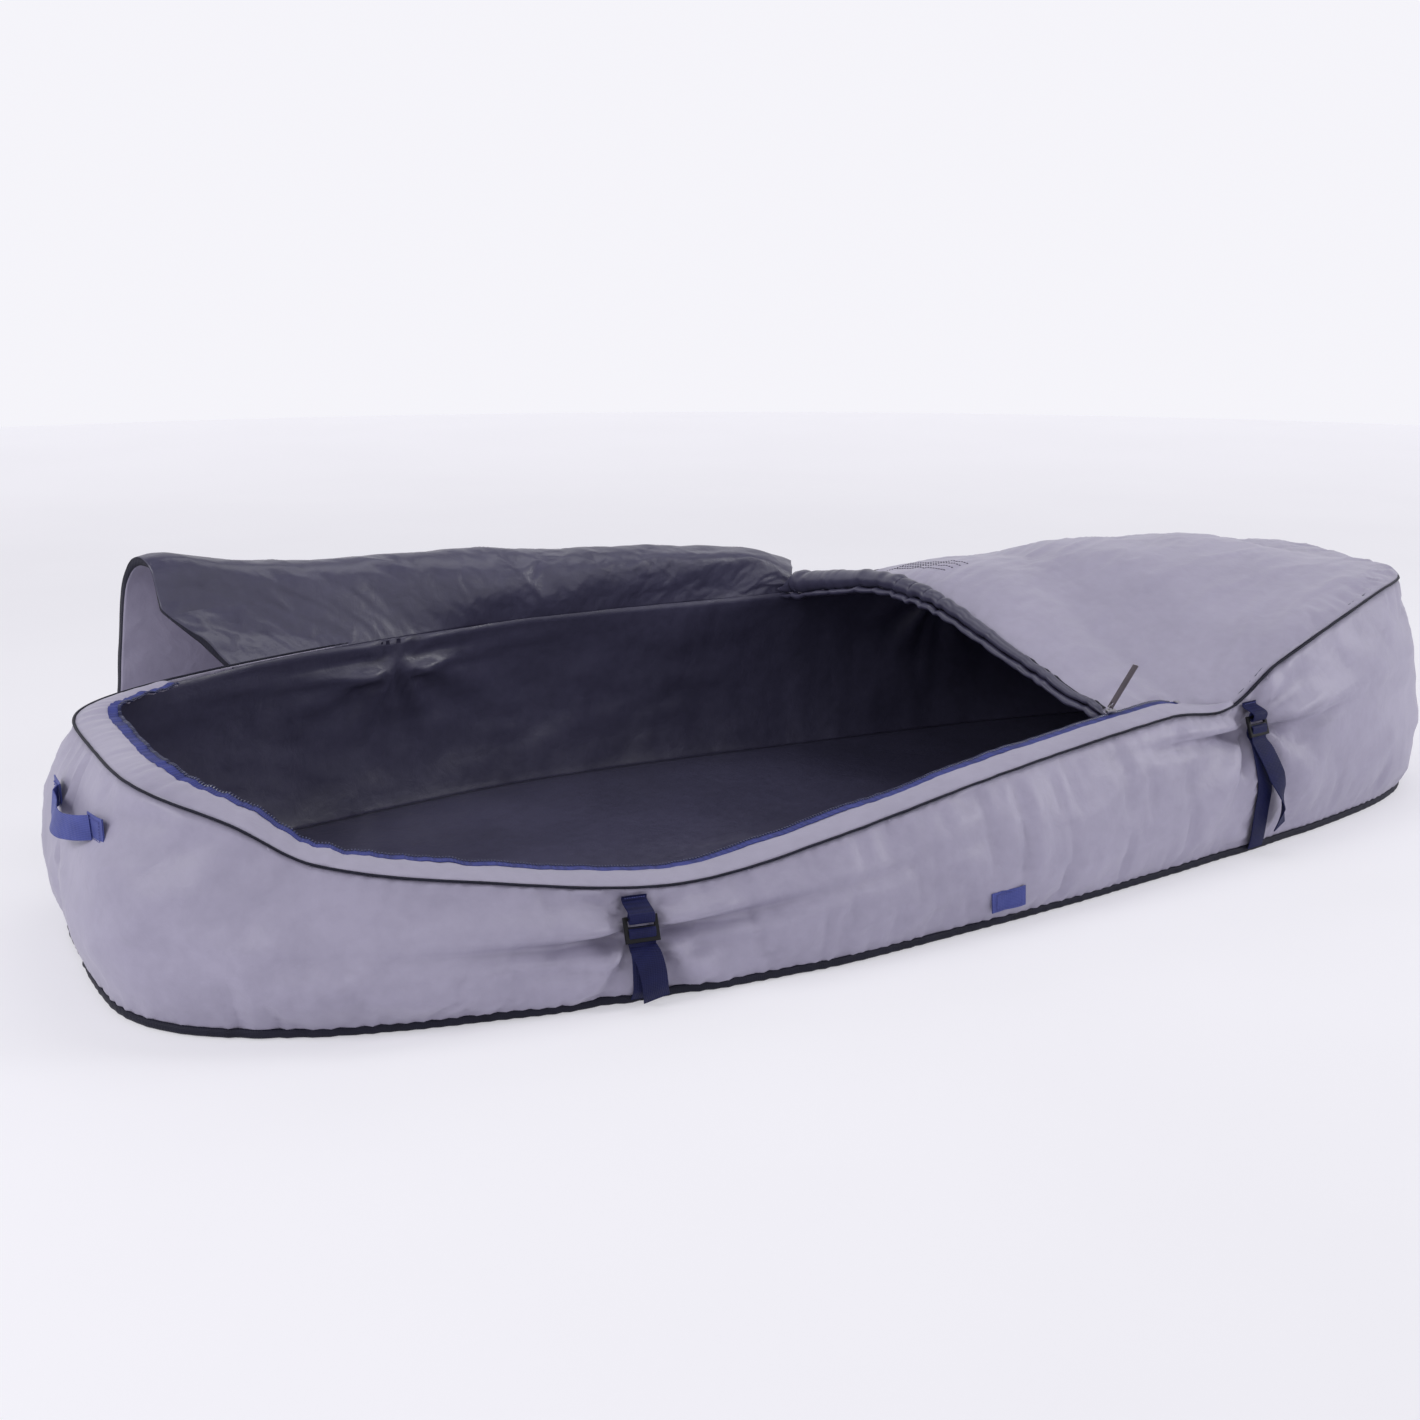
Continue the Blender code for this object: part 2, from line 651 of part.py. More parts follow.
def make_side_tabs():
    for label, side in (("near", -1), ("far", 1)):
        foot, out, along = strap_frame(0.0, side)
        grid = []
        for offset in (-0.028, 0.028):
            column = []
            for z in (0.030, 0.060):
                flat = foot + along * offset + out * (strap_face(0.0, side, z) + 0.003)
                column.append(Vector((flat.x, flat.y, z)))
            grid.append(column)
        slab(f"side_tab_{label}", grid, [[out] * 2] * 2, 0, STRAP_THICK, "webbing")


# ---- zip slider, its pull and the end stop ---------------------------------------------------
def rim_height(x):
    return wall_top(x, -1) + RIM_GAP + RIM_CLOTH + TAPE_GAP + TEETH_HEIGHT


def make_slider():
    track_y = -(half_width(SLIDER_X) - RIM_INSET - TEETH_WIDTH / 2)
    low = rim_height(SLIDER_X) + SLIDER_LIFT
    half_l, half_w = SLIDER_LENGTH / 2, SLIDER_WIDTH / 2
    outline = [Vector((SLIDER_X + x, track_y + y)) for x, y in
               ((-half_l, -half_w * 0.55), (-half_l * 0.3, -half_w * 0.6), (half_l, -half_w),
                (half_l, half_w), (-half_l * 0.3, half_w * 0.6), (-half_l, half_w * 0.55))]
    prism("zip_slider", outline, low, low + SLIDER_HEIGHT, "slider_metal")
    hinge = Vector((SLIDER_X, track_y, low + SLIDER_HEIGHT + PULL_LIFT))
    tilt = Matrix.Translation(hinge) @ Matrix.Rotation(-PULL_TILT, 4, "Y")
    lay = tilt @ Matrix.Rotation(math.pi / 2, 4, "X")
    half = PULL_WIDTH / 2
    across = (-0.0022, 0.0012, 0.0070, PULL_LENGTH * 0.55, PULL_LENGTH)
    down = (-half, -half * 0.45, half * 0.45, half)
    barred_plate("zip_pull", across, down, ((1, 1),), PULL_THICK,
                 lay @ Matrix.Translation((0.0, -PULL_THICK / 2, 0.0)), "puller", hinge)
    stop_x = ZIP_END_X - 0.008
    stop_y = -(half_width(stop_x) - RIM_INSET + TAPE_WIDTH / 2)
    z = rim_height(stop_x) + GAP
    box = [Vector((stop_x + x, stop_y + y)) for x, y in ((-0.004, -0.003), (0.004, -0.003),
                                                         (0.004, 0.003), (-0.004, 0.003))]
    prism("zip_end_stop", box, z, z + 0.002, "slider_metal")


def main():
    for old in list(bpy.data.objects):
        bpy.data.objects.remove(old, do_unlink=True)
    make_base()
    make_walls()
    make_edge_bands()
    make_rim()
    make_deck()
    make_lid()
    make_straps()
    make_tail_handle()
    make_side_tabs()
    make_slider()


main()
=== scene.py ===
"""Looks of the padded board bag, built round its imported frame: cloth, padding, webbing, zip and light."""

import json
import math

import bmesh
import bpy
import numpy as np
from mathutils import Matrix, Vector, noise


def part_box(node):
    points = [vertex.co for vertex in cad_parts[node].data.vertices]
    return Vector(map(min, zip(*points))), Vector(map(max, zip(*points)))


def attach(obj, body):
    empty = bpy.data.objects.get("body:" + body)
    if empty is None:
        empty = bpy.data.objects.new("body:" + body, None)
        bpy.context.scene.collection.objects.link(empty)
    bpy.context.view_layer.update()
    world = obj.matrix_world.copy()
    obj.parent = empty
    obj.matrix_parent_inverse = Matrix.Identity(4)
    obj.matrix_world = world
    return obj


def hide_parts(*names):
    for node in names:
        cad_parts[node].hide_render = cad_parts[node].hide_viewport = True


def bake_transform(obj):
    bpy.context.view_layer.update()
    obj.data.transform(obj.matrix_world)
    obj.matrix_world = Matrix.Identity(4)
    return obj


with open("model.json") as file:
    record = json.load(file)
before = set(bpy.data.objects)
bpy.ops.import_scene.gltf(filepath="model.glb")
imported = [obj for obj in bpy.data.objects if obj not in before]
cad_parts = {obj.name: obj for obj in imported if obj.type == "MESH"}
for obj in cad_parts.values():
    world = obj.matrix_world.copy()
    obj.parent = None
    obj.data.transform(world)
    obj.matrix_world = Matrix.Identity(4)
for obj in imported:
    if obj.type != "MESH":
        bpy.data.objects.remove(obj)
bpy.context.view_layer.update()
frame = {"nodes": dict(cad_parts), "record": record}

# ---- the bag's driving shape, as its frame has it ----
WIDEST_X, HALF_WIDTH = -0.25, 0.49
NOSE_LENGTH, TAIL_LENGTH = 1.40, 0.90
NOSE_TAPER, TAIL_TAPER = 0.085, 0.18
NOSE_SQUARENESS, TAIL_SQUARENESS = 5.0, 4.3
TAPER_START = 0.2
WALL_FOOT = 0.0028
WALL_BULGE, WALL_LEAN = 0.020, 0.03
RIM_INSET = 0.085
ZIP_END_X, STRIP_TAPER = 0.45, 0.08
LID_INSET = 0.096
NEAR_TOP = ((-1.15, 0.300), (-1.04, 0.262), (-0.95, 0.210), (-0.75, 0.170), (-0.50, 0.138),
            (-0.27, 0.168), (0.00, 0.208), (0.38, 0.242), (0.52, 0.235), (0.64, 0.292),
            (0.94, 0.370), (1.15, 0.376))
FAR_TOP = ((-1.15, 0.300), (-0.95, 0.304), (-0.60, 0.312), (0.00, 0.317), (0.25, 0.320),
           (0.45, 0.344), (0.80, 0.350), (1.15, 0.376))
DECK_CROWN = ((0.20, 0.076), (0.60, 0.089), (0.85, 0.057), (1.00, 0.027), (1.15, 0.009))
PARTING_NEAR, PARTING_FAR = (0.31, -0.36), (0.21, 0.45)
DECK_END_X = 1.149
LID_HINGES = ((0.440, 0.335), (0.440, 0.420), (0.560, 0.420), (0.560, 0.024))
LID_TO_FLOOR = sum(math.dist(a, b) for a, b in zip(LID_HINGES, LID_HINGES[1:]))
LID_SLOPE = math.radians(7.5)
STRAP_X, STRAP_WIDTH, STRAP_THICK = 0.56, 0.036, 0.0020
PERIMETER_STEPS = 2400
LOCK_DROP = 0.045                           # of the strap's lock below the wall's top edge
COVER_THICK, LINING_THICK, STRIP_THICK, PAD_THICK = 0.0016, 0.001, 0.0014, 0.0075
WALL_PADDING, DECK_PADDING = 0.0165, 0.012


def hermite(t, start, end, start_slope, end_slope):
    return ((2 * t**3 - 3 * t**2 + 1) * start + (t**3 - 2 * t**2 + t) * start_slope
            + (3 * t**2 - 2 * t**3) * end + (t**3 - t**2) * end_slope)


def walked(points):
    """Distance walked along a line of points, from 0."""
    return np.concatenate([[0], np.cumsum(np.linalg.norm(np.diff(points, axis=0), axis=1))])


def smooth_table(points, count=1200):
    """A curve through (x, value) points as two arrays, for np.interp."""
    xs = np.array([p[0] for p in points])
    vs = np.array([p[1] for p in points])
    slopes = np.empty(len(xs))
    slopes[1:-1] = (vs[2:] - vs[:-2]) / (xs[2:] - xs[:-2])
    slopes[0] = (vs[1] - vs[0]) / (xs[1] - xs[0])
    slopes[-1] = (vs[-1] - vs[-2]) / (xs[-1] - xs[-2])
    grid = np.linspace(xs[0], xs[-1], count)
    k = np.clip(np.searchsorted(xs, grid, side="right") - 1, 0, len(xs) - 2)
    span = xs[k + 1] - xs[k]
    return grid, hermite((grid - xs[k]) / span, vs[k], vs[k + 1], span * slopes[k], span * slopes[k + 1])


NEAR_TABLE, FAR_TABLE, CROWN_TABLE = (smooth_table(p) for p in (NEAR_TOP, FAR_TOP, DECK_CROWN))


def near_top(x):
    return np.interp(x, *NEAR_TABLE)


def far_top(x):
    return np.interp(x, *FAR_TABLE)


def wall_top(x, y):
    """Height of the wall's top edge; near and far profiles meet round the two ends."""
    return np.where(np.asarray(y) < 0, near_top(x), far_top(x))


def taper_width(x):
    x = np.asarray(x, float)
    rate = np.where(x > WIDEST_X, NOSE_TAPER, TAIL_TAPER)
    return HALF_WIDTH - rate * (np.hypot(x - WIDEST_X, TAPER_START) - TAPER_START)


def half_width(x):
    x = np.asarray(x, float)
    nose = x > WIDEST_X
    reach = np.where(nose, (x - WIDEST_X) / NOSE_LENGTH, (WIDEST_X - x) / TAIL_LENGTH)
    power = np.where(nose, NOSE_SQUARENESS, TAIL_SQUARENESS)
    return taper_width(x) * np.maximum(1 - np.clip(reach, 0, 1)**power, 0)**(1 / power)


def foot_loop():
    """The foot line as a closed loop of even steps: points, outward normals, arc length."""
    turn = np.linspace(-math.pi / 2, math.pi / 2, 2001)
    length = np.where(turn > 0, NOSE_LENGTH, TAIL_LENGTH)
    power = np.where(turn > 0, NOSE_SQUARENESS, TAIL_SQUARENESS)
    x = WIDEST_X + np.sign(turn) * length * np.abs(np.sin(turn))**(2 / power)
    y = -taper_width(x) * np.maximum(np.cos(turn), 0)**(2 / power)
    x = np.concatenate([x, x[-2:0:-1]])
    y = np.concatenate([y, -y[-2:0:-1]])
    corners = np.column_stack([np.append(x, x[0]), np.append(y, y[0])])
    run = walked(corners)
    even = np.linspace(0, run[-1], PERIMETER_STEPS + 1)[:-1]
    px, py = (np.interp(even, run, corners[:, k]) for k in (0, 1))
    reach = 16                                  # neighbours used for a steady normal
    tx = np.roll(px, -reach) - np.roll(px, reach)
    ty = np.roll(py, -reach) - np.roll(py, reach)
    size = np.hypot(tx, ty)
    return np.stack([px, py], 1), np.stack([ty / size, -tx / size], 1), run[-1]


LOOP, LOOP_NORMAL, GIRTH = foot_loop()


def at_loop(s, table):
    """Values of a loop table at positions s, from 0 at the tail round the near side to 1."""
    where = np.mod(np.asarray(s, float), 1.0) * PERIMETER_STEPS
    k = np.floor(where).astype(int) % PERIMETER_STEPS
    t = (where - np.floor(where))[..., None]
    return table[k] * (1 - t) + table[(k + 1) % PERIMETER_STEPS] * t


def loop_position(x, side):
    """Where along the loop a station x is, on the near (-1) or far (+1) side."""
    half = PERIMETER_STEPS // 2
    near = LOOP[:half + 1]
    s = np.interp(x, near[:, 0], np.arange(half + 1)) / PERIMETER_STEPS
    return s if side < 0 else 1 - s


# ---- folds of the cloth ----
def cloud(points, size, seed=0.0, octaves=3):
    """Soft noise in -1..1 at each point, with features of the given size."""
    sizes = np.broadcast_to(np.asarray(size, float), (3,))
    out = np.empty(len(points))
    shift = Vector((seed, seed * 1.7, -seed * 0.6))
    for i, p in enumerate(points):
        q = Vector((p[0] / sizes[0], p[1] / sizes[1], p[2] / sizes[2])) + shift
        out[i] = noise.fractal(q, 1.0, 2.0, octaves)
    return out


def crease(values):
    """Turns soft noise into rounded ridges with narrow valleys."""
    return 1 - 2 * np.abs(values)**0.7


def bell(distance, width):
    return np.exp(-(distance / width)**2)


def near_strap(x):
    """Distance along the bag to the nearest strap, signed, and that strap's station."""
    station = np.where(x < 0, -STRAP_X, STRAP_X)
    return x - station, station


def strap_pull(along, z, height, side):
    """Folds that a tight strap draws into the cloth at (along, z), distances from its lock."""
    reach = np.hypot(along, (z - height) * 1.25)
    angle = np.arctan2(z - height, np.abs(along))
    spokes = np.cos(angle * 8.5 - 1.15 + side * 0.15 + 5.5 * reach)
    return np.exp(-(reach / 0.17)**1.4) * (1 - bell(reach, 0.030)) * spokes


def slack_folds(s, v, points):
    """Broad hollows and swells of the padded wall, before the cloth settles."""
    x, y, z = points[:, 0], points[:, 1], points[:, 2]
    along = s * GIRTH
    flat = np.stack([along, np.zeros_like(along), z], 1)
    soft = 0.0100 * cloud(flat, (0.26, 1, 0.14), 3.1, 2)
    dx = near_strap(x)[0]
    cinch = -0.017 * bell(dx, 0.060) * np.clip(v * 1.3, 0, 1) * np.clip((1 - v) / 0.16, 0, 1)
    sag = 0.012 * bell(x + 0.86, 0.22) * (y < 0) * (bell(v - 0.35, 0.25) - bell(v - 0.8, 0.2))
    edge = np.clip((1 - v) / 0.10, 0, 1)
    return (soft + sag) * np.clip(z / 0.02, 0, 1) * edge + cinch


def tight_folds(s, v, points):
    """Creases of the wall's cloth: puckered seams, strap pulls, drag lines and the pinch over the tab."""
    x, y, z = points[:, 0], points[:, 1], points[:, 2]
    along = s * GIRTH
    below = wall_top(x, y) - z
    flat = np.stack([along, np.zeros_like(along), z], 1)
    middle = np.clip(v * (1 - v) * 4, 0, 1)
    slack = 0.0050 * crease(cloud(np.column_stack([along + 0.7 * z, 0 * z, z - 0.15 * along]),
                                  (0.22, 1, 0.085), 17.3, 2)) * middle
    pucker_size = 0.0060 * np.exp(-below / 0.055) * (0.35 + 0.65 * bell(x - 0.12, 0.45))
    puckers = pucker_size * cloud(flat, (0.030, 1, 0.30), 8.2, 2)
    corner = 0.0060 * bell(x + 1.00, 0.10) * np.where(y < 0, 1, 0.4)
    foot = (0.0028 * np.exp(-(z - WALL_FOOT) / 0.035) + corner * np.exp(-(z - WALL_FOOT) / 0.05))
    foot = foot * cloud(flat, (0.022, 1, 0.16), 5.5, 2)
    dx, station = near_strap(x)
    lock_z = wall_top(station, y) - LOCK_DROP
    pull = 0.0140 * strap_pull(dx, z, lock_z, np.sign(dx))
    level = np.exp(-np.abs(dx) / 0.17) * (1 - bell(dx, 0.028))
    tilt = np.where(dx < 0, 0.06, 0.10) * np.abs(dx)
    groove = -0.0400 * level * bell(z - lock_z + 0.016 - tilt, 0.0085)
    ridge = 0.0170 * level * bell(z - lock_z - 0.008 - tilt, 0.015)
    second = -0.0110 * level * bell(np.abs(dx) - 0.09, 0.07) * bell(z - lock_z + 0.040 - 0.4 * tilt, 0.007)
    ripple = 0.0022 * crease(cloud(flat, (0.15, 1, 0.05), 12.4, 3)) * middle
    tab = np.where(y < 0, -0.0085 * bell(x - 0.036 - 0.10 * (z - 0.1), 0.009)
                   + 0.0055 * bell(x - 0.060 - 0.10 * (z - 0.1), 0.015), 0.0)
    tab = tab * np.clip((z - 0.055) / 0.03, 0, 1) * np.clip(below / 0.05, 0, 1)
    calm = np.clip(z / 0.02, 0, 1)
    edge = np.clip(below / 0.030, 0, 1)
    seam = np.where(y < 0, 0.35 + 0.65 * edge, edge)
    strap = pull * calm + groove + ridge + second
    return (slack + ripple + tab + puckers) * seam + foot * calm + strap * edge


def plain_wall(s, v):
    """Side wall without folds: points and outward normals."""
    here, normal = at_loop(s, LOOP), at_loop(s, LOOP_NORMAL)
    top = wall_top(here[:, 0], here[:, 1])
    z = WALL_FOOT + v * (top - WALL_FOOT)
    out = WALL_BULGE * np.sin(math.pi * v**0.85) - WALL_LEAN * v**2.2
    flat = here + normal * out[:, None]
    return np.column_stack([flat, z]), np.column_stack([normal, np.zeros(len(z))])


def on_wall(wall, x, side, z, out=0.0, s=None):
    """A point in front of the finished side wall, and the way it faces there."""
    s = float(loop_position(x, side)) if s is None else s
    place = (s % 1.0) * len(wall)
    first, share = int(place) % len(wall), place - int(place)
    column = wall[first] * (1 - share) + wall[(first + 1) % len(wall)] * share
    flat = [float(np.interp(z, column[:, 2], column[:, k])) for k in (0, 1)]
    normal = at_loop(np.array([s]), LOOP_NORMAL)[0]
    return Vector((flat[0] + normal[0] * out, flat[1] + normal[1] * out, z)), Vector((*normal, 0))


# ---- mesh tools ----
def new_object(name, verts, faces, materials, face_slots=None, smooth=True):
    mesh = bpy.data.meshes.new(name)
    mesh.from_pydata([tuple(v) for v in verts], [], [tuple(f) for f in faces])
    for m in materials:
        mesh.materials.append(m)
    if face_slots is not None:
        mesh.polygons.foreach_set("material_index", np.asarray(face_slots, np.int32))
    if smooth:
        mesh.shade_smooth()
    mesh.validate()
    made = bpy.data.objects.new(name, mesh)
    bpy.context.scene.collection.objects.link(made)
    return made


def grid_normals(grid, ring):
    """Unit normals of a grid of points (columns, rows, 3)."""
    if ring:
        du = np.roll(grid, -1, 0) - np.roll(grid, 1, 0)
    else:
        du = np.gradient(grid, axis=0)
    dv = np.gradient(grid, axis=1)
    n = np.cross(du, dv)
    return n / np.maximum(np.linalg.norm(n, axis=2, keepdims=True), 1e-9)


def grid_faces(columns, rows, ring, start=0, flip=False):
    faces = []
    for i in range(columns if ring else columns - 1):
        for j in range(rows - 1):
            a, b = i * rows + j, ((i + 1) % columns) * rows + j
            quad = (a + start, b + start, b + 1 + start, a + 1 + start)
            faces.append(quad[::-1] if flip else quad)
    return faces


def padded_sheet(name, front, back, materials, ring=False, flip=False, open_low=False, open_high=False):
    """Closed sheet between two grids: front, back and rims take the first, second and third material.
    flip says that the front grid's own normal points to the back; an open side has no rim."""
    columns, rows = front.shape[:2]
    count = columns * rows
    verts = np.concatenate([front.reshape(-1, 3), back.reshape(-1, 3)])
    front_faces = grid_faces(columns, rows, ring, 0, flip)
    back_faces = grid_faces(columns, rows, ring, count, not flip)
    rims = []
    for i in range(columns if ring else columns - 1):
        for j, opened in ((0, open_low), (rows - 1, open_high)):
            if not opened:
                a, b = i * rows + j, ((i + 1) % columns) * rows + j
                quad = (b, a, a + count, b + count)
                rims.append(quad if (j == 0) != flip else quad[::-1])
    for i in () if ring else (0, columns - 1):
        for j in range(rows - 1):
            a, b = i * rows + j, i * rows + j + 1
            quad = (a, b, b + count, a + count)
            rims.append(quad if (i == 0) != flip else quad[::-1])
    last = len(materials) - 1
    slots = [0] * len(front_faces) + [min(1, last)] * len(back_faces) + [last] * len(rims)
    return new_object(name, verts, front_faces + back_faces + rims, materials, slots)


def shell_from_grid(name, grid, thick, material, ring=False, flip=False):
    """Closed sheet of even thickness behind a grid."""
    normals = grid_normals(grid, ring) * (-1 if flip else 1)
    return padded_sheet(name, grid, grid - normals * thick, [material], ring, flip)


def block_faces(first):
    """Faces of a small block of three layers of four points."""
    sides = [(first + layer + k, first + layer + (k + 1) % 4, first + layer + (k + 1) % 4 + 4,
              first + layer + k + 4) for layer in (0, 4) for k in range(4)]
    return sides + [(first + 3, first + 2, first + 1, first), (first + 8, first + 9, first + 10, first + 11)]


def dress(made, body, slot, *replaced, fill=None):
    """Ties a piece to its body and hides the frame pieces it stands for; its material slot is not used."""
    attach(made, body)
    if replaced:
        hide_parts(*replaced)


def sweep(name, path, profile, ups, material, closed_path=False, scales=1.0):
    """Profile, a loop of (across, up) offsets, carried along a path of points; its ends are filled.
    scales is the profile's size at each point of the path."""
    path = np.asarray(path, float)
    if closed_path:
        ahead = np.roll(path, -1, 0) - np.roll(path, 1, 0)
    else:
        ahead = np.gradient(path, axis=0)
    ahead /= np.linalg.norm(ahead, axis=1, keepdims=True)
    ups = np.broadcast_to(np.asarray(ups, float), path.shape)
    side = np.cross(ahead, ups)
    side /= np.maximum(np.linalg.norm(side, axis=1, keepdims=True), 1e-9)
    up = np.cross(side, ahead)
    profile = np.asarray(profile, float) * np.ones((len(path), 1, 1)) * np.reshape(scales, (-1, 1, 1))
    verts = path[:, None] + side[:, None] * profile[:, :, :1] + up[:, None] * profile[:, :, 1:]
    count, around = profile.shape[:2]
    faces = []
    for i in range(count if closed_path else count - 1):
        for j in range(around):
            a, b = i * around + j, ((i + 1) % count) * around + j
            c, d = ((i + 1) % count) * around + (j + 1) % around, i * around + (j + 1) % around
            faces.append((a, d, c, b))
    if not closed_path:
        faces.append(tuple(range(around)))
        faces.append(tuple((count - 1) * around + j for j in reversed(range(around))))
    return new_object(name, verts.reshape(-1, 3), faces, [material])


def oval(width, height, count=10):
    turns = np.linspace(0, 2 * math.pi, count, endpoint=False)
    return np.stack([np.cos(turns) * width / 2, np.sin(turns) * height / 2], 1)


def ribbon_profile(width, thick, count=4):
    """Flat strip with rounded edges."""
    turns = np.linspace(-math.pi / 2, math.pi / 2, count)
    right = np.stack([width / 2 - thick / 2 + np.cos(turns) * thick / 2, np.sin(turns) * thick / 2], 1)
    return np.concatenate([right, -right])


def smooth_path(points, count):
    """Even points along a smooth curve through the given ones."""
    points = np.asarray(points, float)
    marks = walked(points)
    fine = []
    last = len(points) - 1
    for k in range(last):
        p0, p1 = points[max(k - 1, 0)], points[k]
        p2, p3 = points[k + 1], points[min(k + 2, last)]
        m1 = (p2 - p0) / (marks[k + 1] - marks[max(k - 1, 0)]) * (marks[k + 1] - marks[k])
        m2 = (p3 - p1) / (marks[min(k + 2, last)] - marks[k]) * (marks[k + 1] - marks[k])
        fine += [hermite(t, p1, p2, m1, m2) for t in np.linspace(0, 1, 40, endpoint=k == last - 1)]
    fine = np.array(fine)
    run = walked(fine)
    even = np.linspace(0, run[-1], count)
    return np.stack([np.interp(even, run, fine[:, k]) for k in range(3)], 1)


def settle(grid, held, pressure, slack, cap, frames=14, ring=False):
    """Lets a grid of cloth billow between the points that hold it, and returns the new grid.
    held is 0..1 for each point, slack the spare length as a share, cap the most a point may move."""
    columns, rows = grid.shape[:2]
    cloth_object = new_object("settling", grid.reshape(-1, 3), grid_faces(columns, rows, ring), [])
    pins = cloth_object.vertex_groups.new(name="pins")
    for index, weight in enumerate(held.reshape(-1)):
        pins.add([index], float(weight), "REPLACE")
    cloth = cloth_object.modifiers.new("cloth", "CLOTH")
    values = cloth.settings
    values.quality = 5
    values.mass = 0.12
    values.tension_stiffness = values.compression_stiffness = 18
    values.shear_stiffness = 8
    values.bending_stiffness = 0.25
    values.use_pressure = True
    values.uniform_pressure_force = pressure
    values.vertex_group_mass = "pins"
    values.shrink_min = -slack
    values.effector_weights.gravity = 0
    cloth.collision_settings.use_collision = False
    scene = bpy.context.scene
    scene.frame_start, scene.frame_end = 1, frames
    for number in range(1, frames + 1):
        scene.frame_set(number)
    shown = cloth_object.evaluated_get(bpy.context.evaluated_depsgraph_get())
    moved = np.empty(columns * rows * 3)
    shown.data.vertices.foreach_get("co", moved)
    scene.frame_set(1)
    bpy.data.objects.remove(cloth_object)
    step = moved.reshape(grid.shape) - grid
    size = np.maximum(np.linalg.norm(step, axis=2, keepdims=True), 1e-9)
    return grid + step * (cap * np.tanh(size / cap) / size)


# ---- materials ----
def shader_base(name, colour, roughness, metallic=0.0):
    made = bpy.data.materials.new(name)
    made.use_nodes = True
    tree = made.node_tree
    shader = tree.nodes["Principled BSDF"]
    shader.inputs["Base Color"].default_value = (*colour, 1)
    shader.inputs["Roughness"].default_value = roughness
    shader.inputs["Metallic"].default_value = metallic
    place = tree.nodes.new("ShaderNodeTexCoord").outputs["Object"]
    return made, tree, shader, place


def add_node(tree, kind, values=(), links=()):
    """New shader node with (socket, value) settings and (socket, output) links."""
    made = tree.nodes.new(kind)
    for socket, value in values:
        made.inputs[socket].default_value = value
    for socket, output in links:
        tree.links.new(output, made.inputs[socket])
    return made


def noise_node(tree, place, scale, detail=3.0, distortion=0.0):
    values = ("Scale", scale), ("Detail", detail), ("Distortion", distortion)
    return add_node(tree, "ShaderNodeTexNoise", values, [("Vector", place)]).outputs["Fac"]


def wave_node(tree, place, direction, pitch):
    made = add_node(tree, "ShaderNodeTexWave", [("Scale", math.tau / pitch / 20)], [("Vector", place)])
    made.bands_direction = direction
    return made.outputs["Fac"]


def blend_value(tree, a, b, operation="ADD"):
    made = tree.nodes.new("ShaderNodeMath")
    made.operation = operation
    for socket, value in zip(made.inputs, (a, b)):
        if isinstance(value, (int, float)):
            socket.default_value = value
        else:
            tree.links.new(value, socket)
    return made.outputs[0]


def set_colour(tree, shader, factor, low, high, start=0.3, end=0.7):
    """Base colour from low to high as the factor goes from start to end."""
    made = add_node(tree, "ShaderNodeValToRGB", (), [("Fac", factor)])
    for element, position, colour in zip(made.color_ramp.elements, (start, end), (low, high)):
        element.position, element.color = position, (*colour, 1)
    tree.links.new(made.outputs["Color"], shader.inputs["Base Color"])


def set_roughness(tree, shader, factor, low, high):
    made = add_node(tree, "ShaderNodeMapRange", [("To Min", low), ("To Max", high)], [("Value", factor)])
    tree.links.new(made.outputs["Result"], shader.inputs["Roughness"])


def add_bumps(tree, shader, bumps):
    """Chains bump nodes: (height output, strength, distance)."""
    before = []
    for height, strength, distance in bumps:
        made = add_node(tree, "ShaderNodeBump", [("Strength", strength), ("Distance", distance)],
                        [("Height", height), *before])
        before = [("Normal", made.outputs["Normal"])]
    tree.links.new(made.outputs["Normal"], shader.inputs["Normal"])


def nylon(name, colour, dark, roughness, crinkle, weave_pitch=0.0011, sheen=0.0):
    """Coated nylon: fine plain weave, small crinkles, faint shade changes."""
    made, tree, shader, place = shader_base(name, colour, roughness)
    patches = noise_node(tree, place, 5.0, 4.0)
    fine = noise_node(tree, place, 60.0, 4.0)
    mixed = blend_value(tree, blend_value(tree, patches, 0.65, "MULTIPLY"),
                        blend_value(tree, fine, 0.35, "MULTIPLY"))
    set_colour(tree, shader, mixed, dark, colour, 0.32, 0.62)
    set_roughness(tree, shader, fine, roughness - 0.08, roughness + 0.10)
    weave = blend_value(tree, wave_node(tree, place, "X", weave_pitch),
                        wave_node(tree, place, "Z", weave_pitch), "MULTIPLY")
    crinkles = noise_node(tree, place, 26.0, 5.0, distortion=0.6)
    small = noise_node(tree, place, 95.0, 3.0)
    add_bumps(tree, shader, [(crinkles, crinkle, 0.006), (small, crinkle * 0.5, 0.0012),
                             (weave, 0.25, 0.00015)])
    shader.inputs["Sheen Weight"].default_value = sheen
    return made


def woven(name, colour, dark, roughness, pitch):
    """Ribbed webbing or tape."""
    made, tree, shader, place = shader_base(name, colour, roughness)
    shader.inputs["Specular IOR Level"].default_value = 0.15
    wear = noise_node(tree, place, 40.0, 4.0)
    ribs = wave_node(tree, place, "Z", pitch)
    cross = wave_node(tree, place, "X", pitch * 1.4)
    mixed = blend_value(tree, blend_value(tree, wear, 0.7, "MULTIPLY"),
                        blend_value(tree, ribs, 0.3, "MULTIPLY"))
    set_colour(tree, shader, mixed, dark, colour, 0.25, 0.65)
    set_roughness(tree, shader, wear, roughness - 0.1, roughness + 0.1)
    add_bumps(tree, shader, [(wear, 0.15, 0.001), (blend_value(tree, ribs, cross, "ADD"), 0.5, 0.0004)])
    return made


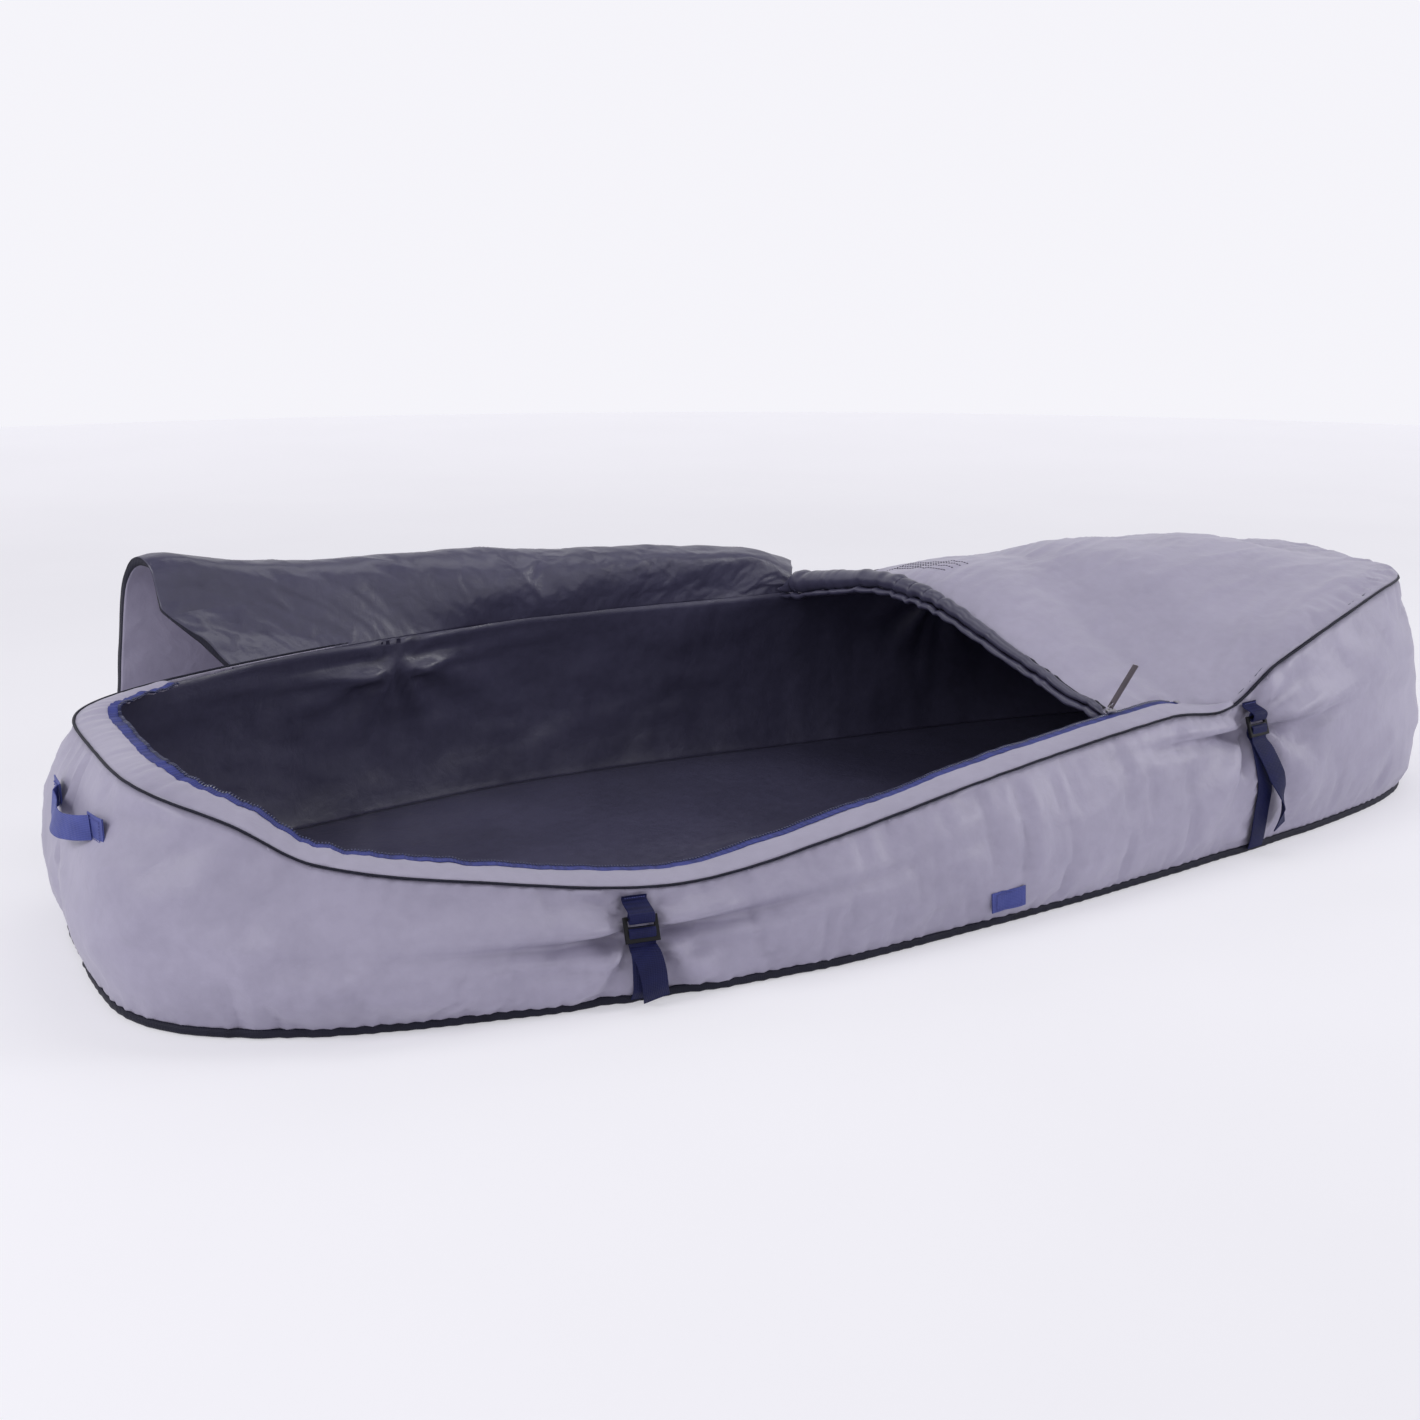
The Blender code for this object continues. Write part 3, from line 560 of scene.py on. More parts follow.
def moulded(name, colour, roughness, metallic=0.0, grain=0.12, gloss=0.5):
    """Moulded plastic or cast metal with a fine grain."""
    made, tree, shader, place = shader_base(name, colour, roughness, metallic)
    shader.inputs["Specular IOR Level"].default_value = gloss
    speck = noise_node(tree, place, 320.0, 4.0)
    smear = noise_node(tree, place, 35.0, 3.0)
    dark = tuple(c * 0.7 for c in colour)
    set_colour(tree, shader, smear, dark, colour, 0.3, 0.6)
    set_roughness(tree, shader, smear, roughness - 0.08, roughness + 0.12)
    add_bumps(tree, shader, [(speck, grain, 0.0003)])
    return made


SHELL = nylon("shell_nylon", (0.322, 0.300, 0.402), (0.268, 0.250, 0.340), 0.48, 0.30, sheen=0.12)
LINING = nylon("lining_nylon", (0.057, 0.054, 0.098), (0.040, 0.038, 0.070), 0.36, 0.26)
BASE = nylon("base_nylon", (0.014, 0.014, 0.020), (0.008, 0.008, 0.013), 0.60, 0.3, 0.0018)
WEBBING = woven("webbing_weave", (0.011, 0.013, 0.062), (0.006, 0.007, 0.036), 0.55, 0.0022)
HANDLE_WEB = woven("handle_weave", (0.075, 0.090, 0.300), (0.045, 0.055, 0.200), 0.50, 0.0022)
TAPE = woven("zip_tape_weave", (0.050, 0.060, 0.230), (0.030, 0.036, 0.140), 0.60, 0.0016)
TEETH = moulded("zip_teeth_resin", (0.020, 0.024, 0.085), 0.32)
PLASTIC = moulded("buckle_resin", (0.005, 0.005, 0.007), 0.42, gloss=0.22)
METAL = moulded("slider_metal", (0.42, 0.41, 0.43), 0.30, 1.0)
PULLER = moulded("puller_resin", (0.060, 0.045, 0.060), 0.42)
PULL_TIP = moulded("puller_tip_resin", (0.36, 0.32, 0.36), 0.40)
BINDING = woven("binding_tape", (0.016, 0.016, 0.030), (0.008, 0.008, 0.016), 0.55, 0.0018)
THREAD = moulded("stitch_thread", (0.075, 0.085, 0.30), 0.6)
DARK_THREAD = moulded("dark_thread", (0.05, 0.045, 0.07), 0.65)
FOAM = moulded("foam_grain", (0.25, 0.25, 0.27), 0.9, grain=0.5)

CAD_LOOKS = {"shell_fabric": SHELL, "lining_fabric": LINING, "base_fabric": BASE, "foam": FOAM,
             "webbing": WEBBING, "zip_tape": TAPE, "zip_teeth": TEETH, "buckle_plastic": PLASTIC,
             "slider_metal": METAL, "puller": PULLER, "binding": BINDING}
for part in frame["record"]["subparts"]:
    mesh = frame["nodes"][part["node"]].data
    mesh.materials.clear()
    mesh.materials.append(CAD_LOOKS[part["material_slot"]])


# ---- camera, light and floor ----
CAMERA_AT = Vector((-1.489, -2.244, 0.894))
CAMERA_HEADING = math.radians(30)           # of the view's plan direction, from +Y towards +X
CAMERA_PITCH = math.radians(-15)
LENS_MM, SENSOR_MM = 43.1, 36.0
FRAME_SHIFT = 0.0148


def make_camera():
    data = bpy.data.cameras.new("camera")
    data.lens, data.sensor_width = LENS_MM, SENSOR_MM
    data.shift_y = FRAME_SHIFT
    data.clip_start, data.clip_end = 0.02, 60
    camera = bpy.data.objects.new("camera", data)
    camera.location = CAMERA_AT
    camera.rotation_euler = (math.pi / 2 + CAMERA_PITCH, 0, -CAMERA_HEADING)
    bpy.context.scene.collection.objects.link(camera)
    bpy.context.scene.camera = camera


LIGHTS = (("overhead", (0.3, 0.3, 3.0), (0, 0.0, 0.1), (2.4, 1.4), 25),
          ("key", (-3.4, -0.4, 2.2), (-0.6, -0.2, 0.2), (1.1, 0.9), 36),
          ("side", (3.2, -2.0, 2.0), (0.4, -0.3, 0.2), (0.9, 0.9), 34))


def soft_light(name, place, target, size, power):
    data = bpy.data.lights.new(name, "AREA")
    data.shape, data.size, data.size_y = "RECTANGLE", size[0], size[1]
    data.energy = power
    lamp = bpy.data.objects.new(name, data)
    lamp.location = place
    lamp.rotation_euler = (Vector(target) - Vector(place)).to_track_quat("-Z", "Y").to_euler()
    bpy.context.scene.collection.objects.link(lamp)


def glowing_wall():
    """Evenly lit backdrop, as bright as the floor in front of it."""
    made, _, shader, _ = shader_base("backdrop_paper", (0, 0, 0), 1.0)
    shader.inputs["Specular IOR Level"].default_value = 0.0
    shader.inputs["Emission Color"].default_value = (0.915, 0.908, 0.955, 1)
    shader.inputs["Emission Strength"].default_value = 1.0
    return made


def make_studio():
    scene = bpy.context.scene
    scene.view_settings.view_transform = "Standard"
    world = bpy.data.worlds.new("studio")
    world.use_nodes = True
    backdrop = world.node_tree.nodes["Background"]
    backdrop.inputs["Color"].default_value = (0.91, 0.90, 0.95, 1)
    backdrop.inputs["Strength"].default_value = 0.22
    scene.world = world
    for light in LIGHTS:
        soft_light(*light)
    paper, tree, shader, place = shader_base("floor_paper", (0.48, 0.476, 0.50), 0.9)
    shader.inputs["Specular IOR Level"].default_value = 0.0
    mottle = noise_node(tree, place, 1.2, 3.0)
    set_colour(tree, shader, mottle, (0.47, 0.466, 0.49), (0.49, 0.486, 0.51))
    shader.inputs["Emission Color"].default_value = (0.92, 0.91, 0.96, 1)
    away = add_node(tree, "ShaderNodeVectorMath", (), [(0, place)])
    away.operation = "LENGTH"
    glow = add_node(tree, "ShaderNodeMapRange",
                    [("From Min", 0.5), ("From Max", 7.0), ("To Min", 0.45), ("To Max", 0.585)],
                    [("Value", away.outputs["Value"])])
    glow.interpolation_type = "SMOOTHERSTEP"
    tree.links.new(glow.outputs["Result"], shader.inputs["Emission Strength"])
    radius, high, count = 9.0, 9.0, 64
    turns = [k * math.tau / count for k in range(count)]
    ring = [Vector((radius * math.cos(turn), radius * math.sin(turn), 0)) for turn in turns]
    new_object("floor", ring, [tuple(range(count))], [paper], smooth=False)
    upper = [p + Vector((0, 0, high)) for p in ring]
    sides = [((k + 1) % count, k, k + count, (k + 1) % count + count) for k in range(count)]
    new_object("backdrop", ring + upper, sides, [glowing_wall()])


# ---- base and side wall ----
AROUND, WALL_ROWS = 560, 26
FOOT_BAND_Z, FOOT_BAND_SIZE, WELT_SIZE = 0.0071, (0.0080, 0.0120), (0.0044, 0.0034)


def make_side_wall():
    s = np.repeat(np.arange(AROUND) / AROUND, WALL_ROWS)
    v = np.tile(np.linspace(0, 1, WALL_ROWS), AROUND)
    plain, normals = plain_wall(s, v)
    shape = (AROUND, WALL_ROWS, 3)
    grid = (plain + normals * slack_folds(s, v, plain)[:, None]).reshape(shape)
    rows = np.linspace(0, 1, WALL_ROWS)[None, :]
    held = np.clip(1 - (rows - 0.03) / 0.08, 0, 1) + np.clip(1 - (1 - rows) / 0.06, 0, 1)
    held = np.clip(held * np.ones((AROUND, 1)), 0, 1)
    held = np.maximum(held, 0.9 * bell(np.abs(grid[:, :, 0]) - STRAP_X, 0.022))
    grid = settle(grid, held, 1.2, 0.03, 0.009, ring=True)
    grid = grid + (normals * tight_folds(s, v, plain)[:, None]).reshape(shape)
    cover = shell_from_grid("side_wall", grid, COVER_THICK, SHELL, ring=True)
    dress(cover, "shell", "shell_fabric", "side_wall_cover", "near_wall_foam", "far_wall_foam",
          "tail_wall_foam", fill=0.7)
    wave = 0.0045 * cloud(np.column_stack([s * GIRTH, 0 * s, plain[:, 2]]), (0.11, 1, 0.22), 21.0, 3)
    folds = slack_folds(s, v, plain) + tight_folds(s, v, plain)
    depth = -WALL_PADDING + wave + np.minimum(0.8 * folds, 0.002)
    lining = plain + normals * depth[:, None]
    made = shell_from_grid("side_lining", lining.reshape(shape), LINING_THICK, LINING, ring=True, flip=True)
    dress(made, "shell", "lining_fabric", "side_wall_lining")
    return grid


def make_floor_pad():
    """Quilted floor of the bag, wavy where the padding gives."""
    stations, across = 150, 56
    x = np.linspace(-1.134, 1.134, stations)
    reach = half_width(x) - 0.016
    t = np.linspace(-1, 1, across)
    px = np.repeat(x, across)
    py = (reach[:, None] * t[None, :]).reshape(-1)
    edge = np.clip((1 - np.abs(np.tile(t, stations))) / 0.08, 0, 1)
    flat = np.column_stack([px, py, 0 * px])
    z = 0.0118 + 0.0035 * edge * (0.5 + cloud(flat, (0.20, 0.14, 1), 30.0, 3))
    grid = np.column_stack([px, py, z]).reshape(stations, across, 3)
    pad = shell_from_grid("floor_pad", grid, PAD_THICK, LINING)
    dress(pad, "shell", "lining_fabric", "base_lining", "base_foam", fill=0.3)


def make_bands(wall):
    """Dark bound edge at the foot, and the thin welt of the top seam."""
    normal = at_loop(np.arange(AROUND) / AROUND, LOOP_NORMAL)
    foot = np.array([[np.interp(FOOT_BAND_Z, column[:, 2], column[:, k]) for k in (0, 1)] + [FOOT_BAND_Z]
                     for column in wall])
    foot[:, :2] += normal * 0.0022
    band = sweep("foot_binding", foot, oval(*FOOT_BAND_SIZE, 12), (0, 0, 1), BINDING, closed_path=True)
    dress(band, "shell", "binding", "bottom_binding")
    top = wall[:, -1].copy()
    top[:, :2] += normal * 0.0016
    top[:, 2] += 0.0010
    welt = sweep("top_welt", top, oval(*WELT_SIZE, 10), (0, 0, 1), BINDING, closed_path=True)
    dress(welt, "shell", "binding", "top_seam_piping")


# ---- zip strip, tape and teeth ----
STRIP_COLUMNS, STRIP_ROWS = 420, 9


def rim_inset(x):
    t = np.clip((x - ZIP_END_X) / STRIP_TAPER, 0, 1)
    return RIM_INSET - (RIM_INSET - WALL_LEAN - 0.006) * t * t * (3 - 2 * t)


def rim_positions(last_x):
    """Loop positions from the far tail corner round the tail and along the near side."""
    first = loop_position(-0.985, 1) - 1
    return np.linspace(first, loop_position(last_x, -1), STRIP_COLUMNS)


def rim_folds(s, share, points):
    """Height of the strip's gathers; they deepen towards the zip and round the tail corners."""
    here = points[:, 0]
    tail = np.clip((-0.60 - here) / 0.35, 0, 1)
    flat = np.column_stack([s * GIRTH, 0 * s, share])
    gather = cloud(flat, (0.020, 1, 3.0), 40.0, 2) * (0.0012 + 0.0030 * tail) * (0.3 + 0.7 * share)
    soft = cloud(flat, (0.14, 1, 3.0), 44.0, 2) * 0.004 * share
    return gather + soft


def rim_point(s, share):
    """A point on the strip: share 0 at the side seam, 1 at the zip."""
    here, normal = at_loop(s, LOOP), at_loop(s, LOOP_NORMAL)
    inset = WALL_LEAN - 0.001 + (rim_inset(here[:, 0]) - WALL_LEAN + 0.001) * share
    flat = here - normal * inset[:, None]
    z = wall_top(here[:, 0], here[:, 1]) + 0.0008 + 0.0085 * np.sin(math.pi * share * 0.75)
    points = np.column_stack([flat, z])
    points[:, 2] += rim_folds(s, share, points) * np.clip(share * 6, 0, 1)
    return points


def make_rim():
    s = np.repeat(rim_positions(ZIP_END_X + STRIP_TAPER), STRIP_ROWS)
    share = np.tile(np.linspace(0, 1, STRIP_ROWS), STRIP_COLUMNS)
    grid = rim_point(s, share).reshape(STRIP_COLUMNS, STRIP_ROWS, 3)
    strip = shell_from_grid("rim_strip_cloth", grid, STRIP_THICK, SHELL)
    dress(strip, "shell", "shell_fabric", "rim_strip")
    s = rim_positions(ZIP_END_X)
    edge = rim_point(s, np.ones(len(s)))
    normal = at_loop(s, LOOP_NORMAL)
    middle = edge.copy()
    middle[:, :2] += normal * 0.0045
    middle[:, 2] += 0.0022
    tape = sweep("rim_tape", middle, ribbon_profile(0.014, 0.0012), (0, 0, 1), TAPE)
    dress(tape, "shell", "zip_tape", "rim_zip_tape")
    teeth_line = edge.copy()
    teeth_line[:, :2] -= normal * 0.0040
    teeth_line[:, 2] += 0.0030
    teeth = make_teeth("rim_teeth", teeth_line, normal)
    dress(teeth, "shell", "zip_teeth", "rim_zip_teeth")


def make_teeth(name, line, normal, pitch=0.0042):
    """Row of moulded teeth along a line, each a small chamfered block that reaches inwards."""
    run = walked(line)
    spots = np.arange(pitch, run[-1] - pitch, pitch)
    verts, faces = [], []
    for spot in spots:
        centre = Vector([float(np.interp(spot, run, line[:, k])) for k in range(3)])
        out = Vector((*[float(np.interp(spot, run, normal[:, k])) for k in range(2)], 0)).normalized()
        along = Vector((-out.y, out.x, 0))
        start = len(verts)
        for z, grow in ((-0.0012, 0.75), (0.0, 1.0), (0.0012, 0.7)):
            for a, b in ((-1, -1), (1, -1), (1, 1), (-1, 1)):
                reach = 0.0024 if b > 0 else 0.0028
                verts.append(centre + along * (a * 0.0012 * grow) + out * (b * reach * grow)
                             + Vector((0, 0, z)))
        faces += block_faces(start)
    return new_object(name, verts, faces, [TEETH], smooth=False)


# ---- nose deck ----
DECK_COLUMNS, DECK_ROWS = 150, 120


def deck_surface(u, v):
    """Nose deck: u from the parting line to the nose, v from the near to the far edge."""
    start = PARTING_NEAR[0] + (PARTING_FAR[0] - PARTING_NEAR[0]) * v
    x = start + (DECK_END_X - start) * u
    width = half_width(x)
    near_edge = -(width - rim_inset(x) - 0.006 * (x < ZIP_END_X + STRIP_TAPER))
    far_edge = width - WALL_LEAN
    y = near_edge + (far_edge - near_edge) * v
    crown = np.interp(x, *CROWN_TABLE) * np.sin(math.pi * v**1.2)**1.6
    z = near_top(x) * (1 - v) + far_top(x) * v + crown
    rounding = 0.010 * (1 - np.clip(np.minimum(v, 1 - v) / 0.05, 0, 1))**2
    return np.column_stack([x, y, z + 0.004 - rounding * 0.3])


def deck_folds(v, points):
    x, y = points[:, 0], points[:, 1]
    flat = np.column_stack([x, y, 0 * x])
    soft = 0.006 * cloud(flat, (0.34, 0.26, 1), 50.0, 2)
    edge = np.minimum(v, 1 - v) * 0.8
    pucker = 0.0035 * np.exp(-edge / 0.05) * cloud(flat, (0.035, 0.5, 1), 52.0, 2)
    drag = 0.0035 * crease(cloud(np.column_stack([x + 0.5 * y, y - 0.3 * x, 0 * x]), (0.30, 0.085, 1),
                                 55.0, 3))
    pleats = np.zeros(len(x))
    for k in range(4):                       # short pleats that run back from the parting line
        line = y - (0.02 + 0.035 * k) - 0.55 * (x - 0.27)
        pleats += -0.004 * bell(line, 0.0045) * np.clip(1 - (x - 0.25) / 0.16, 0, 1)
    still = np.clip(np.minimum(v, 1 - v) / 0.03, 0, 1)
    return (soft + drag) * still + pucker * np.clip(np.minimum(v, 1 - v) / 0.012, 0, 1) + pleats


def make_parting_roll(edge):
    """Lining turned over the deck's edge: a slim bound rim at the zip, a fat soft roll at the far wall."""
    count = 220
    share = np.linspace(0, 1, count)
    line = smooth_path(edge[2:], count)
    ends = np.minimum(np.clip(share / 0.02, 0.3, 1), np.clip((1 - share) / 0.04, 0.2, 1))
    radius = (0.0070 + 0.0250 * share**1.6) * ends
    wrinkle = 1 + 0.10 * cloud(np.column_stack([share * 0.9, 0 * share, 0 * share]), (0.045, 1, 1), 71.0, 2)
    path = line.copy()
    path[:, 0] += radius * 0.75 - 0.005
    path[:, 2] += radius * 0.55
    roll = sweep("parting_roll", path, oval(2.0, 1.5, 28), (0, 0, 1), LINING, scales=radius * wrinkle)
    dress(roll, "shell", "lining_fabric", "deck_edge_binding", fill=0.3)
    seam = line.copy()
    seam[:, 0] += radius * 2.2 - 0.004
    seam[:, 2] += 0.0030
    band = sweep("parting_binding", seam[4:-6], ribbon_profile(0.009, 0.0014), (0, 0, 1), BINDING)
    dress(band, "shell", "binding")
    under = line.copy()
    under[:, 0] -= 0.006
    under[:, 2] -= 0.007
    lip = sweep("parting_lip", under, oval(0.018, 0.010, 14), (0, 0, 1), LINING,
                scales=ends * (1 + 0.12 * np.sin(share * 90)))
    dress(lip, "shell", "lining_fabric")


def make_deck_stitches(grid):
    """Four dark rows of stitching on the deck, beside the highest stretch of the roll."""
    starts, ends = [], []
    for line in range(4):
        column = 12 + 2 * line
        for row in range(int(DECK_ROWS * 0.60), int(DECK_ROWS * 0.80)):
            a, b = grid[column, row], grid[column, row + 1]
            starts.append(Vector(a + (b - a) * 0.06) + Vector((0, 0, 0.0008)))
            ends.append(Vector(a + (b - a) * 0.94) + Vector((0, 0, 0.0008)))
    stitch_rows("deck_stitches", starts, ends, Vector((0, 0, 1)), 1, DARK_THREAD, width=0.0022)


def make_deck():
    t = np.linspace(0, 1, DECK_COLUMNS)
    u = np.repeat(t * (1.45 - 0.45 * t), DECK_ROWS)
    v = np.tile(np.linspace(0, 1, DECK_ROWS), DECK_COLUMNS)
    points = deck_surface(u, v)
    points[:, 2] += deck_folds(v, points)
    grid = points.reshape(DECK_COLUMNS, DECK_ROWS, 3)
    rows = np.linspace(0, 1, DECK_ROWS)[None, :]
    held = np.clip(1 - np.minimum(rows, 1 - rows) / 0.02, 0, 1) * np.ones((DECK_COLUMNS, 1))
    ends = np.linspace(0, 1, DECK_COLUMNS)[:, None]
    held = np.maximum(held, np.clip(1 - np.minimum(ends, 1 - ends) / 0.02, 0, 1))
    grid = settle(grid, held, 0.9, 0.02, 0.010)
    cover = shell_from_grid("nose_deck", grid, COVER_THICK, SHELL)
    dress(cover, "shell", "shell_fabric", "deck_cover", "deck_foam", fill=0.7)
    under = grid.copy()
    under[:, :, 2] -= DECK_PADDING
    lining = shell_from_grid("deck_lining_cloth", under[:, 2:-2], LINING_THICK, LINING, flip=True)
    dress(lining, "shell", "lining_fabric", "deck_lining")
    make_parting_roll(grid[0])
    make_deck_stitches(grid)


# ---- lid ----
LID_THICK = 0.011
CREST_Y, BACK_Y, BACK_Z = 0.500, 0.566, 0.20
FOLD_Z = 0.378                              # seam height between the first two lengths of the lid
CREST = ((-1.00, 0.446), (-0.93, 0.462), (-0.88, 0.470), (-0.78, 0.450), (-0.62, 0.436), (-0.33, 0.430),
         (-0.03, 0.411), (0.12, 0.403), (0.19, 0.393), (0.25, 0.374), (0.31, 0.352), (0.39, 0.338))
CREST_TABLE = smooth_table(CREST)
LID_COLUMNS, LID_PATH_POINTS = 260, 400


def lid_half_width(x):
    """Half width of the closed lid, which keeps inside the rim's zip."""
    if x > WIDEST_X:
        return float(half_width(x)) - LID_INSET
    reach = min((WIDEST_X - x) / (TAIL_LENGTH - LID_INSET), 1.0)
    width = float(taper_width(x)) - LID_INSET
    return width * (1 - reach**TAIL_SQUARENESS)**(1 / TAIL_SQUARENESS)


def lid_path(base_x, x, count):
    """Lining side of the lid at one station, as an even path of (y, z) from wall to floor edge."""
    top = float(far_top(base_x))
    wall_y = float(half_width(base_x)) - WALL_LEAN - 0.004
    crest = float(np.interp(x, *CREST_TABLE))
    shoulder = min(crest - 0.014, FOLD_Z + 0.02)
    floor_run = max((lid_half_width(x) + LID_HINGES[0][0]) / math.cos(LID_SLOPE) - LID_TO_FLOOR, 0.07)
    route = [(0, min(wall_y, 0.452), top - 0.004),
             (0, 0.440 - 0.4 * max(0.43 - wall_y, 0), 0.5 * top + 0.5 * shoulder),
             (0, 0.446, shoulder), (0, 0.466, crest - 0.006),
             (0, CREST_Y, crest), (0, 0.538, crest - 0.014), (0, BACK_Y - 0.004, crest - 0.055),
             (0, BACK_Y + 0.002, 0.26),
             (0, BACK_Y, BACK_Z), (0, BACK_Y, 0.11), (0, BACK_Y + 0.004, 0.055),
             (0, BACK_Y + 0.020, 0.026), (0, BACK_Y + 0.045, 0.0175), (0, BACK_Y + floor_run, 0.0150)]
    return smooth_path(route, count)


def tail_end(run):
    """Tail end of the lid by its run from the wall, in metres."""
    return np.interp(run, (0.0, 0.06, 0.12, 0.18, 0.30, 0.55, 0.75),
                     (-0.84, -0.875, -0.925, -0.930, -0.955, -0.985, -0.96))


def nose_end(run):
    """Parting end of the lid, set back from the nose deck."""
    return np.interp(run, (0.0, 0.05, 0.10, 0.20, 0.35, 0.60, 0.80),
                     (0.216, 0.246, 0.276, 0.270, 0.245, 0.256, 0.280))


def lid_grid(low, high, rows):
    """Points of the lid between two marks of its path, and each point's run from the wall."""
    share = np.linspace(0, 1, LID_COLUMNS)
    share = share + 0.10 * np.sin(math.pi * share) * (share - 0.5)
    grid = np.empty((LID_COLUMNS, rows, 3))
    runs = np.empty((LID_COLUMNS, rows))
    for i, place in enumerate(share):
        base_x = tail_end(0) + (nose_end(0) - tail_end(0)) * place
        x = tail_end(0.12) + (nose_end(0.12) - tail_end(0.12)) * place
        path = lid_path(base_x, x, LID_PATH_POINTS)[:, 1:]
        run = walked(path)
        marks = path_marks(path, run)
        where = np.linspace(marks[low], marks[high], rows)
        grid[i, :, 1] = np.interp(where, run, path[:, 0])
        grid[i, :, 2] = np.interp(where, run, path[:, 1])
        grid[i, :, 0] = tail_end(where) + (nose_end(where) - tail_end(where)) * place
        runs[i] = where
    return grid, runs


def path_marks(path, run):
    """Run at the wall, the front seam, the crest, the back seam and the edge."""
    after = int(np.argmax(path[:, 1]))
    back = np.interp(-BACK_Z, -path[after:, 1], run[after:])
    return (0.0, run[after] * 0.50, run[after], back, run[-1])


def lid_folds(grid, runs):
    """Soft rolls along the crest and drag lines down both faces."""
    x = grid[:, :, 0].reshape(-1)
    run = runs.reshape(-1)
    flat = np.column_stack([x, run, 0 * x])
    long_rolls = 0.0065 * cloud(flat, (0.33, 0.085, 1), 61.0, 2)
    drags = 0.0018 * crease(cloud(np.column_stack([x + 0.8 * run, run, 0 * x]), (0.13, 0.20, 1), 64.0, 3))
    small = 0.0010 * cloud(flat, (0.05, 0.035, 1), 67.0, 3)
    return (long_rolls + drags + small).reshape(runs.shape)


def make_lid():
    pieces = (("lid_front", 0, 1, 22, "shell", "lid_a", (0, 0.44, 0.325), (0, 0.44, 0.345), "a"),
              ("lid_crest", 1, 2, 30, "lid_a", "lid_b", (0, 0.446, 0.398), (0, 0.494, 0.428), "b"),
              ("lid_back", 2, 3, 60, "lid_b", "lid_c", (0, 0.502, 0.396), (0, 0.568, 0.330), "c"),
              ("lid_flap", 3, 4, 90, "lid_c", "lid_d", (0, 0.560, 0.060), (0, 0.595, 0.020), "d"))
    lengths = []
    for piece in pieces:
        grid, runs = lid_grid(*piece[1:4])
        first = 1 if lengths else 0              # a length's first row is the last one's last row
        lengths.append((grid[:, first:], lid_folds(grid, runs)[:, first:]))
    joined, folds = (np.concatenate([length[k] for length in lengths], axis=1) for k in (0, 1))
    normals = grid_normals(joined, False)
    rows = joined.shape[1]
    level = np.clip((joined[:, :, 2:] - 0.014) / 0.03, 0.25, 1)
    fade = np.clip(np.arange(rows) / 8, 0, 1)[None, :, None]
    lift = folds[:, :, None] * level * fade
    back = joined + normals * (0.4 * lift - LID_THICK)
    joined = joined + normals * lift
    held = np.zeros(joined.shape[:2])
    held[:, 0] = held[:, -1] = 1
    joined = settle(joined, held, 0.4, 0.006, 0.006)
    joined[:, :, 2] = np.maximum(joined[:, :, 2], LID_THICK + 0.0025)
    back[:, :, 2] = np.maximum(back[:, :, 2], 0.0012)
    start = 0
    for name, low, high, rows, parent, child, begin, end, letter in pieces:
        stop = start + rows - 1 if low else rows - 1
        made = padded_sheet(name, joined[:, start:stop + 1], back[:, start:stop + 1],
                            [LINING, SHELL, BINDING], open_low=low > 0, open_high=high < 4)
        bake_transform(made)
        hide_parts(f"lid_cover_{letter}", f"lid_foam_{letter}", f"lid_lining_{letter}",
                    f"lid_binding_{letter}")
        start = stop
    edge = (joined[:, -1] + back[:, -1]) / 2 + np.array([0, 0.004, 0])
    tape = sweep("lid_tape", edge, ribbon_profile(0.012, 0.0012), (0, 0, 1), TAPE)
    dress(tape, "lid_d", "zip_tape", "lid_zip_tape")


# ---- straps, buckles, handle and tabs ----
def rounded_copy(node, name, width, material, body, slot, segments=3):
    """Detailed twin of a hard frame piece: the same shape with its edges rounded over."""
    source = bmesh.new()
    source.from_mesh(frame["nodes"][node].data)
    bmesh.ops.remove_doubles(source, verts=source.verts, dist=1e-6)
    bmesh.ops.dissolve_limit(source, angle_limit=math.radians(2), verts=source.verts, edges=source.edges)
    sharp = [e for e in source.edges if len(e.link_faces) == 2 and e.calc_face_angle(0) > math.radians(25)]
    bmesh.ops.bevel(source, geom=sharp, offset=width, segments=segments, affect="EDGES", profile=0.6,
                    clamp_overlap=True)
    mesh = bpy.data.meshes.new(name)
    source.to_mesh(mesh)
    source.free()
    mesh.materials.append(material)
    mesh.shade_smooth()
    mesh.set_sharp_from_angle(angle=math.radians(50))
    made = bpy.data.objects.new(name, mesh)
    bpy.context.scene.collection.objects.link(made)
    dress(made, body, slot, node)
    return made


def middle_of(node):
    low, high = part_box(node)
    return (Vector(low) + Vector(high)) / 2


def webbing_strip(name, points, outs, node, width=STRAP_WIDTH, body="shell", material=WEBBING):
    """Flat webbing along a smooth path; outs are the facing directions at the points."""
    count = max(24, 6 * len(points))
    path = smooth_path(points, count)
    marks = np.linspace(0, 1, len(outs))
    outs = np.array([list(o) for o in outs])
    facing = np.stack([np.interp(np.linspace(0, 1, count), marks, outs[:, k]) for k in range(3)], 1)
    made = sweep(name, path, ribbon_profile(width, STRAP_THICK, 6), facing, material)
    dress(made, body, "webbing", node)


